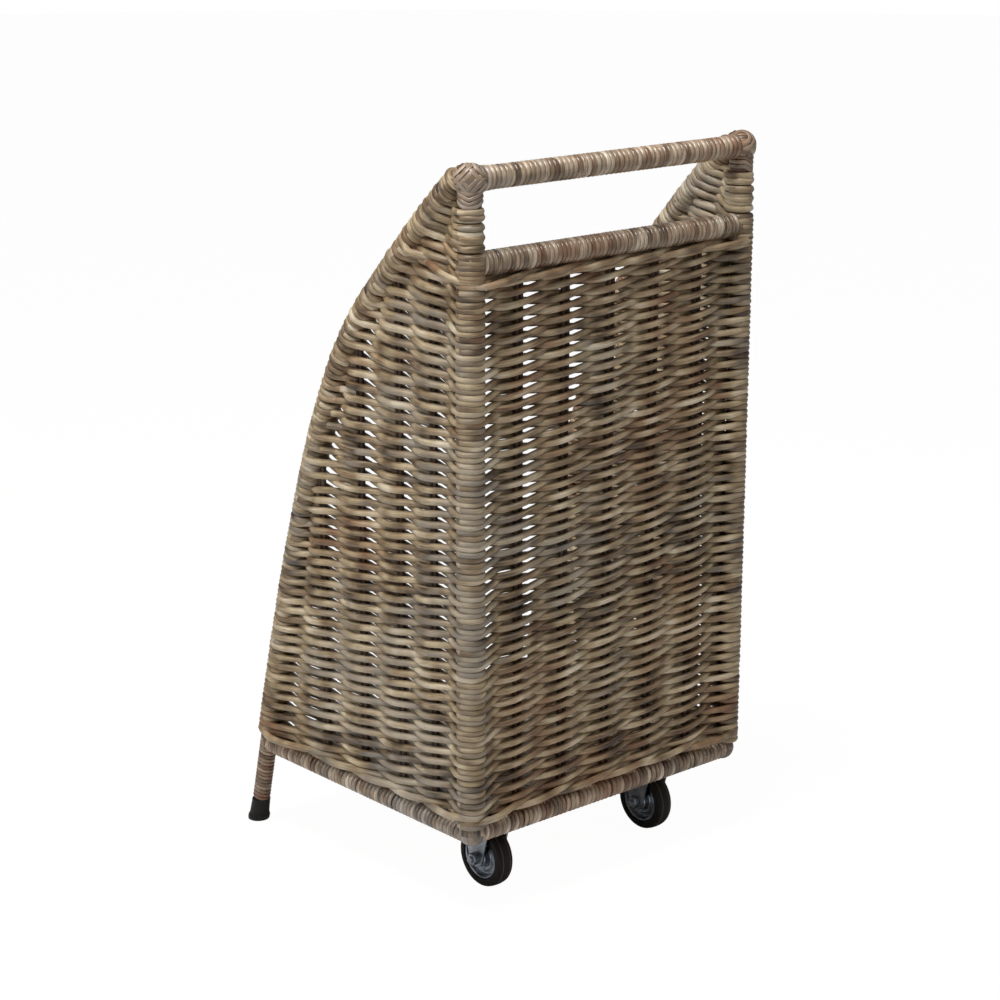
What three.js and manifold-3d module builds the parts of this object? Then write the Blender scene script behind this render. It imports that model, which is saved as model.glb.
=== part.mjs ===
// Fireside log cart: a woven rattan carrier for split logs, on two fixed castors and two front feet.
// Millimetres, +Z up. The open front looks along -Y, the handle and the woven back are at +Y, and +X
// is the cart's right-hand side as seen from its front. The origin is on the ground, at the middle
// of the cart's box.
//
// Each side of the cart is a flat frame of its own: a rear post, a bent pole that comes down from the
// post's top to become a front leg, a base rail, and a woven wall on pairs of upright stakes. A side
// is drawn in its own plane, with X = 0 on the plane, the post's axis on the Z axis and the front at
// -Y, and is then turned about its post, because the two sides open a little towards the front.

import * as THREE from "three";
import { mergeVertices } from "three/addons/utils/BufferGeometryUtils.js";
import Module from "manifold-3d";

const wasm = await Module();
wasm.setup();

// ---- Driving dimensions ------------------------------------------------------------------------

const CLEARANCE = 0.3; // left between two pieces that rest on or fit round each other

// Side frames
const POST_SPACING = 400; // between the axes of the two rear posts
const POST_RADIUS = 8.7;
const POST_OVER_HANDLE = 6; // the post's top above the handle's axis
const SPLAY = THREE.MathUtils.degToRad(2.3); // each side opens outwards by this, towards the front
const ARCH_RADIUS = 7.8; // the bent pole
const ARCH_OVER_HANDLE = 17; // where the pole's axis would cross the post's, above the handle's axis
const ARCH_END_OVER_HANDLE = 13; // the pole's upper end is sawn off level, this far above the handle's axis
const FOOT_REACH = 388; // from the post's axis to the pole's lower end
const LEG_END = 8; // height of the pole's lower end, inside its foot
// The bend as [share of FOOT_REACH, share of the drop from the pole's top to LEG_END].
const ARCH_BEND = [
  [0, 0],
  [0.275, 0.128],
  [0.497, 0.249],
  [0.634, 0.377],
  [0.766, 0.561],
  [0.881, 0.763],
  [1, 1],
];

// Handle and back rail
const HANDLE_HEIGHT = 832;
const HANDLE_RADIUS = 9.2;
const RAIL_DROP = 89.2; // the back rail's axis below the handle's axis
const RAIL_RADIUS = 10.2;
const HANDLE_WRAP_LEAD = 5.5; // the straight ends of a wrap, along its core
const RAIL_WRAP_LEAD = 4.5;
const ROUND_WRAP = { turns: 24, gap: 0.7, thickness: 2.9, steps: 10, leadWidth: 4.4 };

// Base
const RAIL_OVER_BOARD = 5.5; // the base rails' axis above the board's underside
const BASE_RADIUS = 8.8;
const BASE_WRAP = 1.6; // thickness of the cane on the base rails
const BOARD_THICKNESS = 10;
const BOARD_MARGIN = 12; // of the board in front of the castors' plates
const FLOOR_THICKNESS = 6.4;
const FLOOR_CORNER_CLEAR = 1; // from the floor's corners to the strands round the posts and poles

// Woven walls
const WEAVE_THICKNESS = 17.6;
const SLEEVE_STRAND = 5.5; // the strands where they turn round a post or a bent pole
const WEAVE_OVER_RAIL = 0.5; // the walls' lower edge above the wrapped base rails
const SLEEVE_BELOW_HANDLE = 29; // top of the strands on the posts, below the handle's axis
const ARCH_SLEEVE_REACH = 26; // where the strands on the bent pole stop short of the post's axis
const STAKE_RADIUS = 2.9;
const BACK_STAKES = 5;
const SIDE_STAKE_REACHES = [60, 116, 182, 252]; // from the post's axis to each pair of side stakes

// Corner bindings at the post tops
const KNOB_RADIUS = 16.5;
const NECK_RADIUS = 13.5;
const KNOB_STEPS = 18;

// Feet and leg wraps
const FOOT_HEIGHT = 29;
const FOOT_TOP_RADIUS = 11.2;
const FOOT_SOLE_RADIUS = 13.3;
const FOOT_STEPS = 20;
const LEG_WRAP = 1.8; // thickness of the cane on the front legs
const LEG_WRAP_DROP = 2.4; // from the lowest line of the base rail's wrap down to the leg wrap
const LEG_WRAP_STEPS = 6;

// Castors
const CASTOR_INSET = 73; // from a post's axis in to the wheel's middle plane
const PLATE_SETBACK = 7; // from the back base rail's wrap to a castor's plate
const WHEEL_RADIUS = 38;
const TYRE_WIDTH = 23.4;
const TYRE_SIDEWALL = 1.2; // from the full width out to the tread's edge
const TREAD_FLAT = 4; // width of the tread's flat middle
const TYRE_SHOULDER = 3; // from the tyre's inner edge out to its full width
const RIM_RADIUS = 26.5;
const RIM_WIDTH = 20;
const RIM_LIP = 3; // thickness of the rim's outer ring
const HUB_RADIUS = 12;
const HUB_LENGTH = 26;
const WEB_THICKNESS = 5;
const BOLT_RADIUS = 4;
const BOLT_PLAY = 0.4; // between the bolt and the axle sleeve
const AXLE_SLEEVE_WALL = 1.6;
const FORK_OVER_WHEEL = 23.7; // from the wheel's top to the plate's top
const WHEEL_PLAY = 1.2; // between the wheel's widest part and each leg of the fork
const FORK_SHEET = 2.4;
const FORK_TOP_WIDTH = 52;
const FORK_EYE_RADIUS = 11;
const FORK_SHOULDER = 8; // the legs' straight edge below the plate
const FORK_EYE_REST = 0.3; // radians of the eye's arc above the axle, at each side
const PLATE_LENGTH = 84;
const PLATE_WIDTH = 62;
const NUT_HEIGHT = 6.5;
const NUT_RADIUS = 7.5; // to the hexagon's corners
const BOLT_HEAD = 5.3;
const BOLT_END = 2.8; // the thread that shows past the nut
const SCREW_RADIUS = 2.2;
const SCREW_HEAD_RADIUS = 4.4;
const SCREW_HEAD = 2.6;
const SCREW_DEPTH = 8; // into the board
const SCREW_INSET_X = 7.5; // from the plate's edges to a screw
const SCREW_INSET_Y = 8;

// Roundness
const POLE_SIDES = 10;
const SLEEVE_SIDES = 16;
const ARCH_STEPS = 18;
const WHEEL_STEPS = 28;

// ---- Finishes ----------------------------------------------------------------------------------

const finish = (color, roughness, metalness = 0) =>
  new THREE.MeshStandardMaterial({ color, roughness, metalness });
const POLE = finish(0x86745c, 0.6);
const WOVEN = finish(0xa2937c, 0.65);
const CANE = finish(0x8d7a64, 0.45);
const STAKE = finish(0x6b563f, 0.6);
const BOARD = finish(0xb39b78, 0.7);
const BLACK_RUBBER = finish(0x1c1c1e, 0.75);
const ZINC = finish(0x9aa3a8, 0.35, 1);

// ---- Solids ------------------------------------------------------------------------------------

// A closed geometry as a solid that can be joined and cut.
function solid(geometry) {
  const bare = geometry.clone();
  bare.deleteAttribute("normal");
  bare.deleteAttribute("uv");
  const shared = mergeVertices(bare, 1e-4);
  return new wasm.Manifold(
    new wasm.Mesh({
      numProp: 3,
      vertProperties: shared.attributes.position.array,
      triVerts: Uint32Array.from(shared.index.array),
    }),
  );
}

function geometryOf(made) {
  const mesh = made.getMesh();
  const geometry = new THREE.BufferGeometry();
  geometry.setAttribute("position", new THREE.BufferAttribute(mesh.vertProperties, 3));
  geometry.setIndex(new THREE.BufferAttribute(mesh.triVerts, 1));
  geometry.computeVertexNormals();
  return geometry;
}

const joined = (...pieces) => geometryOf(pieces.map(solid).reduce((all, next) => all.add(next)));
const cut = (piece, ...tools) =>
  geometryOf(tools.map(solid).reduce((left, tool) => left.subtract(tool), solid(piece)));

// The corners of a regular outline, as points of a shape.
const ringPoints = (radius, sides) =>
  Array.from({ length: sides }, (_, i) => {
    const angle = (2 * Math.PI * (i + 0.5)) / sides;
    return new THREE.Vector2(radius * Math.cos(angle), radius * Math.sin(angle));
  });

// A straight bar of round or hexagonal section from one height to another, on the Z axis. With a
// bore it is a tube.
function upright(radius, low, high, { sides = POLE_SIDES, bore = 0 } = {}) {
  const shape = new THREE.Shape(ringPoints(radius, sides));
  if (bore > 0) shape.holes.push(new THREE.Path(ringPoints(bore, sides)));
  const bar = new THREE.ExtrudeGeometry(shape, { depth: high - low, bevelEnabled: false });
  return bar.translate(0, 0, low);
}

// The same bar along X or along -Y, at a height.
const alongX = (radius, from, to, height, options) =>
  upright(radius, from, to, options).rotateY(Math.PI / 2).translate(0, 0, height);
const alongFront = (radius, from, to, height, options) =>
  upright(radius, from, to, options).rotateX(Math.PI / 2).translate(0, 0, height);

// A bar that follows a curve.
const bent = (path, radius, steps, sides = POLE_SIDES) =>
  new THREE.ExtrudeGeometry(new THREE.Shape(ringPoints(radius, sides)), {
    steps,
    extrudePath: path,
    bevelEnabled: false,
  });

// A profile of [radius, height] points turned about the Z axis.
const turned = (profile, steps) =>
  new THREE.LatheGeometry(
    profile.map(([radius, height]) => new THREE.Vector2(radius, height)),
    steps,
  ).rotateX(Math.PI / 2);

const block = (width, depth, height) => new THREE.BoxGeometry(width, depth, height);

// A flat piece drawn in a side's plane as [reach towards the front, height] points.
function sidePlate(points, thickness) {
  const shape = new THREE.Shape(points.map(([reach, height]) => new THREE.Vector2(reach, height)));
  const plate = new THREE.ExtrudeGeometry(shape, { depth: thickness, bevelEnabled: false });
  const plane = new THREE.Matrix4().makeBasis(
    new THREE.Vector3(0, -1, 0),
    new THREE.Vector3(0, 0, 1),
    new THREE.Vector3(-1, 0, 0),
  );
  return plate.applyMatrix4(plane).translate(thickness / 2, 0, 0);
}

// A flat piece drawn as [x, y] points, between two heights.
function floorPlate(points, low, high) {
  const shape = new THREE.Shape(points.map(([x, y]) => new THREE.Vector2(x, y)));
  const plate = new THREE.ExtrudeGeometry(shape, { depth: high - low, bevelEnabled: false });
  return plate.translate(0, 0, low);
}

// A pair of rods side by side, upright, spread along X or along Y.
function rodPair(radius, spread, low, high, along) {
  const shape = new THREE.Shape();
  shape.absarc(spread, 0, radius, -Math.PI / 2, Math.PI / 2, false);
  shape.absarc(-spread, 0, radius, Math.PI / 2, (3 * Math.PI) / 2, false);
  const pair = new THREE.ExtrudeGeometry(shape, {
    depth: high - low,
    bevelEnabled: false,
    curveSegments: 4,
  });
  return pair.rotateZ(along === "y" ? Math.PI / 2 : 0).translate(0, 0, low);
}

// ---- Windings ----------------------------------------------------------------------------------

// A strip of cane wound round a core: one unbroken ribbon, whose two ends turn to lie along the core.
// `path` is the core's axis between the two faces that the ends meet, in a plane that `sideways` is
// square to, and `startAngle` is where on the core both ends lie.
function winding(name, { path, sideways, innerRadius, startAngle, leadLength }, wrap) {
  const { turns, gap, thickness, steps, leadWidth } = wrap;
  const middle = innerRadius + thickness / 2;
  const length = path.getLength();
  const bend = leadWidth; // the radius of the turn from round the core to along it
  const taper = 0.4; // turns over which the strip narrows to its end
  const lead = leadLength + bend;
  const rise = (length - 2 * lead) / turns; // along the core in one turn
  const width = rise - gap;

  // Places on the core's surface: how far along it, how far round it, and the way the strip faces,
  // from 0 round the core to a right angle along it.
  const straight = Math.PI / 2;
  const places = [
    { along: 0, round: -bend, facing: straight, wide: leadWidth },
    ...[straight, straight * 0.67, straight * 0.33].map((facing) => ({
      along: lead - bend * (1 - Math.cos(facing)),
      round: -bend * Math.sin(facing),
      facing,
      wide: leadWidth,
    })),
  ];
  const leadIn = places.length;
  for (let i = 0; i <= turns * steps; i++) {
    const turn = i / steps;
    const fromEnd = Math.min(turn, turns - turn, taper) / taper;
    places.push({
      along: lead + turn * rise,
      round: turn * 2 * Math.PI * middle,
      facing: 0,
      wide: leadWidth + (width - leadWidth) * Math.sin((fromEnd * Math.PI) / 2),
    });
  }
  const lastRound = turns * 2 * Math.PI * middle;
  for (const { along, round, ...rest } of places.slice(0, leadIn).reverse()) {
    places.push({ along: length - along, round: lastRound - round, ...rest });
  }

  // Split cane, flat underneath and crowned on top, as shares of the width and the thickness.
  const section = [
    [-0.45, -0.5],
    [0.45, -0.5],
    [0.5, 0.05],
    [0, 0.5],
    [-0.5, 0.05],
  ];
  const rings = places.map(({ along, round, facing, wide }) => {
    const share = along / length;
    const axis = path.getTangentAt(share);
    const across = new THREE.Vector3().crossVectors(sideways, axis);
    const angle = startAngle + round / middle;
    const outward = new THREE.Vector3()
      .addScaledVector(sideways, Math.cos(angle))
      .addScaledVector(across, -Math.sin(angle));
    const roundWay = new THREE.Vector3().crossVectors(outward, axis);
    const run = new THREE.Vector3()
      .addScaledVector(roundWay, Math.cos(facing))
      .addScaledVector(axis, Math.sin(facing));
    const edge = new THREE.Vector3().crossVectors(run, outward);
    const centre = path.getPointAt(share).addScaledVector(outward, middle);
    return section.map(([s, r]) =>
      centre
        .clone()
        .addScaledVector(edge, s * wide)
        .addScaledVector(outward, r * thickness),
    );
  });
  console.log(`${name}: least gap to itself ${leastGap(rings, steps).toFixed(2)} mm`);
  return ribbon(rings);
}

// The least distance between ring points that are more than half a turn apart.
function leastGap(rings, steps) {
  let least = Infinity;
  rings.forEach((ring, i) => {
    for (const later of rings.slice(i + Math.ceil(steps / 2))) {
      for (const a of ring) {
        for (const b of later) least = Math.min(least, a.distanceTo(b));
      }
    }
  });
  return least;
}

// Joins rings of points into one closed tube with flat ends.
function ribbon(rings) {
  const sides = rings[0].length;
  const positions = rings.flat().flatMap((point) => point.toArray());
  const index = [];
  for (let r = 0; r + 1 < rings.length; r++) {
    for (let s = 0; s < sides; s++) {
      const a = r * sides + s;
      const b = r * sides + ((s + 1) % sides);
      index.push(a, b, b + sides, a, b + sides, a + sides);
    }
  }
  const last = (rings.length - 1) * sides;
  for (let s = 1; s + 1 < sides; s++) {
    index.push(0, s + 1, s);
    index.push(last, last + s, last + s + 1);
  }
  const geometry = new THREE.BufferGeometry();
  geometry.setAttribute("position", new THREE.Float32BufferAttribute(positions, 3));
  geometry.setIndex(index);
  geometry.computeVertexNormals();
  return geometry;
}

// ---- Levels and lines that several pieces share --------------------------------------------------

const halfSpacing = POST_SPACING / 2;
const forkRise = WHEEL_RADIUS + FORK_OVER_WHEEL; // from the axle to the plate's top
const plateTop = WHEEL_RADIUS + forkRise;
const boardLow = plateTop + CLEARANCE;
const boardTop = boardLow + BOARD_THICKNESS;
const baseHeight = boardLow + RAIL_OVER_BOARD;
const baseOuter = BASE_RADIUS + CLEARANCE + BASE_WRAP;
const weaveLow = baseHeight + baseOuter + WEAVE_OVER_RAIL;
const railHeight = HANDLE_HEIGHT - RAIL_DROP;
const archTop = HANDLE_HEIGHT + ARCH_OVER_HANDLE;
const sleeveInner = POST_RADIUS + CLEARANCE;
const sleeveOuter = POST_RADIUS + SLEEVE_STRAND;
const archOuter = ARCH_RADIUS + SLEEVE_STRAND;
const sleeveTop = HANDLE_HEIGHT - SLEEVE_BELOW_HANDLE;
const postTop = HANDLE_HEIGHT + POST_OVER_HANDLE;
// A strip's flats lie inside its corners, so its corners start this much further out.
const wrapInner = (coreRadius, steps) => (coreRadius + CLEARANCE) / Math.cos(Math.PI / steps);

// The bent pole's axis in its side's plane, from the post's top to the foot.
const archPath = new THREE.CatmullRomCurve3(
  ARCH_BEND.map(
    ([reach, drop]) =>
      new THREE.Vector3(0, -reach * FOOT_REACH, archTop - drop * (archTop - LEG_END)),
  ),
);

// The share of a falling curve at which some value of its points passes a limit.
function shareWhere(passed) {
  let low = 0;
  let high = 1;
  for (let i = 0; i < 40; i++) {
    const middle = (low + high) / 2;
    if (passed(archPath.getPointAt(middle))) high = middle;
    else low = middle;
  }
  return low;
}
const archShareAtHeight = (height) => shareWhere((point) => point.z < height);
const archShareAtReach = (reach) => shareWhere((point) => -point.y > reach);

// A stretch of the bent pole's axis, as a curve of its own.
function archStretch(from, to, points) {
  const places = Array.from({ length: points }, (_, i) => from + ((to - from) * i) / (points - 1));
  return new THREE.CatmullRomCurve3(places.map((share) => archPath.getPointAt(share)));
}

const archBaseShare = archShareAtHeight(baseHeight);
const frontReach = -archPath.getPointAt(archBaseShare).y; // post axis to pole axis at the base

// A side's plane, put in the cart's frame: +1 is the right side and -1 the left.
const sideMatrix = (hand) =>
  new THREE.Matrix4()
    .makeTranslation(hand * halfSpacing, 0, 0)
    .multiply(new THREE.Matrix4().makeRotationZ(hand * SPLAY));
const inCart = (geometry, hand) => geometry.clone().applyMatrix4(sideMatrix(hand));
const inSide = (geometry, hand) => geometry.clone().applyMatrix4(sideMatrix(hand).invert());

// Half the cart's width inside lines that lie `inset` inside the sides' planes, at some reach.
const innerHalf = (reach, inset) =>
  halfSpacing + reach * Math.tan(SPLAY) - inset / Math.cos(SPLAY);

// ---- Side frames -------------------------------------------------------------------------------

const archClear = bent(archPath, ARCH_RADIUS + CLEARANCE, ARCH_STEPS);
const postClear = upright(sleeveInner, 0, postTop + CLEARANCE);

const postGeometry = upright(POST_RADIUS, baseHeight - baseOuter, postTop);
const archEndClear = upright(sleeveInner, 0, archTop + 2 * ARCH_RADIUS);
const sawnOff = block(40, 80, 40).translate(0, 0, HANDLE_HEIGHT + ARCH_END_OVER_HANDLE + 20);
const archGeometry = cut(bent(archPath, ARCH_RADIUS, ARCH_STEPS), archEndClear, sawnOff);

// The base rail of a side runs from the back rail's wrap to the bent pole.
const sideRailFrom = baseOuter + CLEARANCE;
const sideRailGeometry = cut(
  alongFront(BASE_RADIUS, sideRailFrom, frontReach, baseHeight),
  archClear,
);
const sideRailWrapGeometry = cut(
  alongFront(baseOuter, sideRailFrom, frontReach, baseHeight, { bore: BASE_RADIUS + CLEARANCE }),
  archClear,
);

// Pairs of upright stakes inside a wall, and the channels that they stand in.
const stakeSpread = STAKE_RADIUS; // the two rods touch
const stakeLow = baseHeight + baseOuter + CLEARANCE;
const archHeightAt = (reach) => archPath.getPointAt(archShareAtReach(reach)).z;
const sideStakePair = (reach, radius, low) =>
  rodPair(radius, stakeSpread, low, archHeightAt(reach), "y").translate(0, -reach, 0);
const sideStakeGeometries = SIDE_STAKE_REACHES.map((reach) =>
  cut(sideStakePair(reach, STAKE_RADIUS, stakeLow), archClear),
);

// The corner binding at a post's top: a knob on a neck.
function knob(grow) {
  const radius = KNOB_RADIUS + grow;
  const neck = NECK_RADIUS + grow;
  const low = sleeveTop + CLEARANCE - grow;
  const from = -Math.acos(neck / radius);
  const arc = Array.from({ length: 9 }, (_, i) => {
    const angle = from + ((Math.PI / 2 - from) * i) / 8;
    return [Math.max(radius * Math.cos(angle), 0), HANDLE_HEIGHT + radius * Math.sin(angle)];
  });
  arc[arc.length - 1][0] = 0;
  return turned([[0, low], [neck, low], ...arc], KNOB_STEPS);
}

// A side wall: the woven panel with the strands that turn round the post and the bent pole.
function sideWeave(hand) {
  const sleeveShares = [archShareAtReach(ARCH_SLEEVE_REACH), archShareAtHeight(weaveLow)];
  const edge = archStretch(...sleeveShares, 18);
  const foot = archStretch(sleeveShares[0], archShareAtHeight(weaveLow - archOuter), 18);
  const panel = sidePlate(
    [[0, weaveLow], ...edge.points.map(({ y, z }) => [-y, z]).reverse(), [0, sleeveTop]],
    WEAVE_THICKNESS,
  );
  const postSleeve = upright(sleeveOuter, weaveLow, sleeveTop, { sides: SLEEVE_SIDES });
  const poleSleeve = cut(
    bent(foot, archOuter, ARCH_STEPS),
    block(200, 4 * FOOT_REACH, weaveLow).translate(0, 0, weaveLow / 2),
  );
  const channels = SIDE_STAKE_REACHES.map((reach) =>
    sideStakePair(reach, STAKE_RADIUS + CLEARANCE, weaveLow - 1),
  );
  const railClear = alongX(RAIL_RADIUS + CLEARANCE, -halfSpacing, halfSpacing, railHeight);
  return cut(
    joined(panel, postSleeve, poleSleeve),
    upright(sleeveInner, 0, sleeveTop + 1),
    archClear,
    knob(CLEARANCE),
    inSide(railClear, hand),
    ...channels,
  );
}

// The leg's wrap stops under the side's base rail and on the foot.
const legTop = archShareAtHeight(baseHeight - baseOuter - LEG_WRAP_DROP);
const footShare = archShareAtHeight(FOOT_HEIGHT + 2 * CLEARANCE);
const legWrapGeometry = cut(
  bent(
    archStretch(legTop, footShare, LEG_WRAP_STEPS),
    ARCH_RADIUS + CLEARANCE + LEG_WRAP,
    LEG_WRAP_STEPS,
  ),
  archClear,
);

// A rubber foot: a tapered cup on the pole's end, flat on the ground.
function footGeometry() {
  const end = archPath.getPointAt(1);
  const down = archPath.getTangentAt(1);
  const run = end.z / -down.z; // along the leg from the pole's end to the ground
  const below = FOOT_SOLE_RADIUS; // spare length, cut off at the ground
  const top = FOOT_HEIGHT / -down.z;
  const cup = turned(
    [
      [0, -below],
      [FOOT_SOLE_RADIUS, -below],
      [FOOT_SOLE_RADIUS, 2],
      [FOOT_TOP_RADIUS, top],
      [0, top],
    ],
    FOOT_STEPS,
  );
  const bore = upright(ARCH_RADIUS + CLEARANCE, run - CLEARANCE, top + 20);
  const lean = new THREE.Quaternion().setFromUnitVectors(
    new THREE.Vector3(0, 0, 1),
    down.clone().negate(),
  );
  const sole = end.clone().addScaledVector(down, run);
  const set = (geometry) => geometry.applyQuaternion(lean).translate(sole.x, sole.y, sole.z);
  const ground = block(200, 200, 100).translate(0, sole.y, -50);
  return cut(set(cup), set(bore), ground);
}

// ---- Back, handle and base -----------------------------------------------------------------------

// A pole across the cart between the two posts, or a sleeve round one. Its ends are hollowed to
// the posts' round.
function crossPole(radius, height, options) {
  const half = halfSpacing - POST_RADIUS / 2;
  const pole = alongX(radius, -half, half, height, options);
  const ends = [-1, 1].flatMap((hand) => [
    postClear.clone().translate(hand * halfSpacing, 0, 0),
    inCart(archClear, hand),
  ]);
  return cut(pole, ...ends);
}

// The wrap of a pole across the cart, between faces that lie `inset` inside the posts' axes.
const crossWrap = (radius, height, inset, leadLength) => ({
  path: new THREE.LineCurve3(
    new THREE.Vector3(-halfSpacing + inset, 0, height),
    new THREE.Vector3(halfSpacing - inset, 0, height),
  ),
  sideways: new THREE.Vector3(0, 1, 0),
  innerRadius: wrapInner(radius, ROUND_WRAP.steps),
  startAngle: -Math.PI / 2,
  leadLength,
});

const railWrapOuter = wrapInner(RAIL_RADIUS, ROUND_WRAP.steps) + ROUND_WRAP.thickness;
const backWeaveTop = railHeight - railWrapOuter - CLEARANCE;
const backStakePlaces = Array.from(
  { length: BACK_STAKES },
  (_, i) => ((i + 1) / (BACK_STAKES + 1) - 0.5) * POST_SPACING,
);
const backStake = (x) =>
  rodPair(STAKE_RADIUS, stakeSpread, stakeLow, backWeaveTop, "x").translate(x, 0, 0);

function backWeave() {
  const height = backWeaveTop - weaveLow;
  const panel = block(POST_SPACING, WEAVE_THICKNESS, height).translate(0, 0, weaveLow + height / 2);
  const sleeves = [-1, 1].map((hand) =>
    upright(sleeveOuter + CLEARANCE, weaveLow - 1, backWeaveTop + 1, {
      sides: SLEEVE_SIDES,
    }).translate(hand * halfSpacing, 0, 0),
  );
  const channels = backStakePlaces.map((x) =>
    rodPair(
      STAKE_RADIUS + CLEARANCE,
      stakeSpread,
      weaveLow - 1,
      backWeaveTop + 1,
      "x",
    ).translate(x, 0, 0),
  );
  const outside = [-1, 1].map((hand) =>
    block(40, 40, 2 * height).translate(hand * (halfSpacing + 20), 0, weaveLow),
  );
  return cut(panel, ...sleeves, ...outside, ...channels);
}

// The front rail lies between the two side rails' wraps, on the bent poles' line.
const frontY = -frontReach * Math.cos(SPLAY);
const frontHalf = innerHalf(-frontY, 0);
const frontTools = [-1, 1].flatMap((hand) => [
  inCart(archClear, hand),
  inCart(alongFront(baseOuter + CLEARANCE, 0, 2 * frontReach, baseHeight), hand),
  block(60, 60, 60).translate(hand * (frontHalf + 30), frontY, baseHeight),
]);
const frontRailGeometry = cut(
  alongX(BASE_RADIUS, -frontHalf, frontHalf, baseHeight).translate(0, frontY, 0),
  ...frontTools,
);
const frontRailWrapGeometry = cut(
  alongX(baseOuter, -frontHalf, frontHalf, baseHeight, {
    bore: BASE_RADIUS + CLEARANCE,
  }).translate(0, frontY, 0),
  ...frontTools,
);

// The castor board lies between the base rails, and the woven floor on top of it.
const railInset = baseOuter + CLEARANCE;
const trapezium = (rear, front, inset) => [
  [-innerHalf(rear, inset), -rear],
  [-innerHalf(front, inset), -front],
  [innerHalf(front, inset), -front],
  [innerHalf(rear, inset), -rear],
];
const castorX = halfSpacing - CASTOR_INSET;
const castorY = -(railInset + PLATE_SETBACK + PLATE_LENGTH / 2);
const boardFront = -castorY + PLATE_LENGTH / 2 + BOARD_MARGIN;
const screwPlaces = [-1, 1].flatMap((alongSide) =>
  [-1, 1].map((acrossSide) => [
    acrossSide * (PLATE_WIDTH / 2 - SCREW_INSET_X),
    alongSide * (PLATE_LENGTH / 2 - SCREW_INSET_Y),
  ]),
);
function castorBoard() {
  const board = floorPlate(trapezium(railInset, boardFront, railInset), boardLow, boardTop);
  const pilots = [-1, 1].flatMap((hand) =>
    screwPlaces.map(([x, y]) =>
      upright(
        SCREW_RADIUS + CLEARANCE,
        boardLow - 1,
        plateTop + SCREW_DEPTH + CLEARANCE,
        { sides: 8 },
      ).translate(hand * castorX + x, castorY + y, 0),
    ),
  );
  return cut(board, ...pilots);
}
const floorLow = boardTop + CLEARANCE;
// The floor's edges sit just clear of the rails' wraps at the floor's underside.
const floorInset = Math.sqrt(railInset ** 2 - (floorLow - baseHeight) ** 2);
const floorGeometry = cut(
  floorPlate(
    trapezium(floorInset, -frontY - floorInset, floorInset),
    floorLow,
    Math.min(floorLow + FLOOR_THICKNESS, weaveLow - CLEARANCE),
  ),
  ...[-1, 1].flatMap((hand) => [
    upright(sleeveOuter + FLOOR_CORNER_CLEAR, boardTop, weaveLow, {
      sides: SLEEVE_SIDES,
    }).translate(hand * halfSpacing, 0, 0),
    inCart(bent(archPath, archOuter + FLOOR_CORNER_CLEAR, ARCH_STEPS), hand),
  ]),
);

// ---- Castors -------------------------------------------------------------------------------------
// A castor is drawn with its middle plane at X = 0, its axle over the origin and the ground at Z = 0.

const forkInner = Math.max(HUB_LENGTH, TYRE_WIDTH) / 2 + WHEEL_PLAY;
const forkOuter = forkInner + FORK_SHEET;
const tyreInner = RIM_RADIUS + CLEARANCE;
const axleSleeveBore = BOLT_RADIUS + BOLT_PLAY;
const axleSleeveRadius = axleSleeveBore + AXLE_SLEEVE_WALL;

function forkGeometry() {
  const plateLow = forkRise - FORK_SHEET;
  const plateMiddle = forkRise - FORK_SHEET / 2;
  const plate = block(PLATE_WIDTH, PLATE_LENGTH, FORK_SHEET).translate(0, 0, plateMiddle);
  const legShape = new THREE.Shape();
  legShape.moveTo(-FORK_TOP_WIDTH / 2, plateMiddle);
  legShape.lineTo(-FORK_TOP_WIDTH / 2, plateLow - FORK_SHOULDER);
  legShape.absarc(
    0,
    0,
    FORK_EYE_RADIUS,
    Math.PI - FORK_EYE_REST,
    2 * Math.PI + FORK_EYE_REST,
    false,
  );
  legShape.lineTo(FORK_TOP_WIDTH / 2, plateLow - FORK_SHOULDER);
  legShape.lineTo(FORK_TOP_WIDTH / 2, plateMiddle);
  const legs = [-1, 1].map((side) =>
    new THREE.ExtrudeGeometry(legShape, {
      depth: FORK_SHEET,
      bevelEnabled: false,
      curveSegments: 10,
    })
      .rotateX(Math.PI / 2)
      .rotateZ(Math.PI / 2)
      .translate(side * (forkInner + FORK_SHEET / 2) - FORK_SHEET / 2, 0, 0),
  );
  const axleHole = alongX(BOLT_RADIUS + CLEARANCE, -forkOuter - 1, forkOuter + 1, 0);
  const screwHoles = screwPlaces.map(([x, y]) =>
    upright(SCREW_RADIUS + CLEARANCE, plateLow - 1, forkRise + 1).translate(x, y, 0),
  );
  return cut(joined(plate, ...legs), axleHole, ...screwHoles).translate(0, 0, WHEEL_RADIUS);
}

// A profile of [radius, across] points turned about the axle.
const wheelTurned = (profile) => turned(profile, WHEEL_STEPS).rotateY(Math.PI / 2);

function tyreGeometry() {
  const side = TYRE_WIDTH / 2;
  const crown = WHEEL_RADIUS - tyreInner - TYRE_SHOULDER - TYRE_SIDEWALL;
  const tread = Array.from({ length: 7 }, (_, i) => {
    const angle = (Math.PI * (i - 3)) / 6;
    return [
      WHEEL_RADIUS - crown * (1 - Math.cos(angle)),
      (side - TREAD_FLAT / 2) * Math.sin(angle) + (TREAD_FLAT / 2) * Math.sign(i - 3),
    ];
  });
  return wheelTurned([
    [tyreInner, -RIM_WIDTH / 2],
    [tyreInner + TYRE_SHOULDER, -side],
    ...tread,
    [tyreInner + TYRE_SHOULDER, side],
    [tyreInner, RIM_WIDTH / 2],
    [tyreInner, -RIM_WIDTH / 2],
  ]);
}

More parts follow.
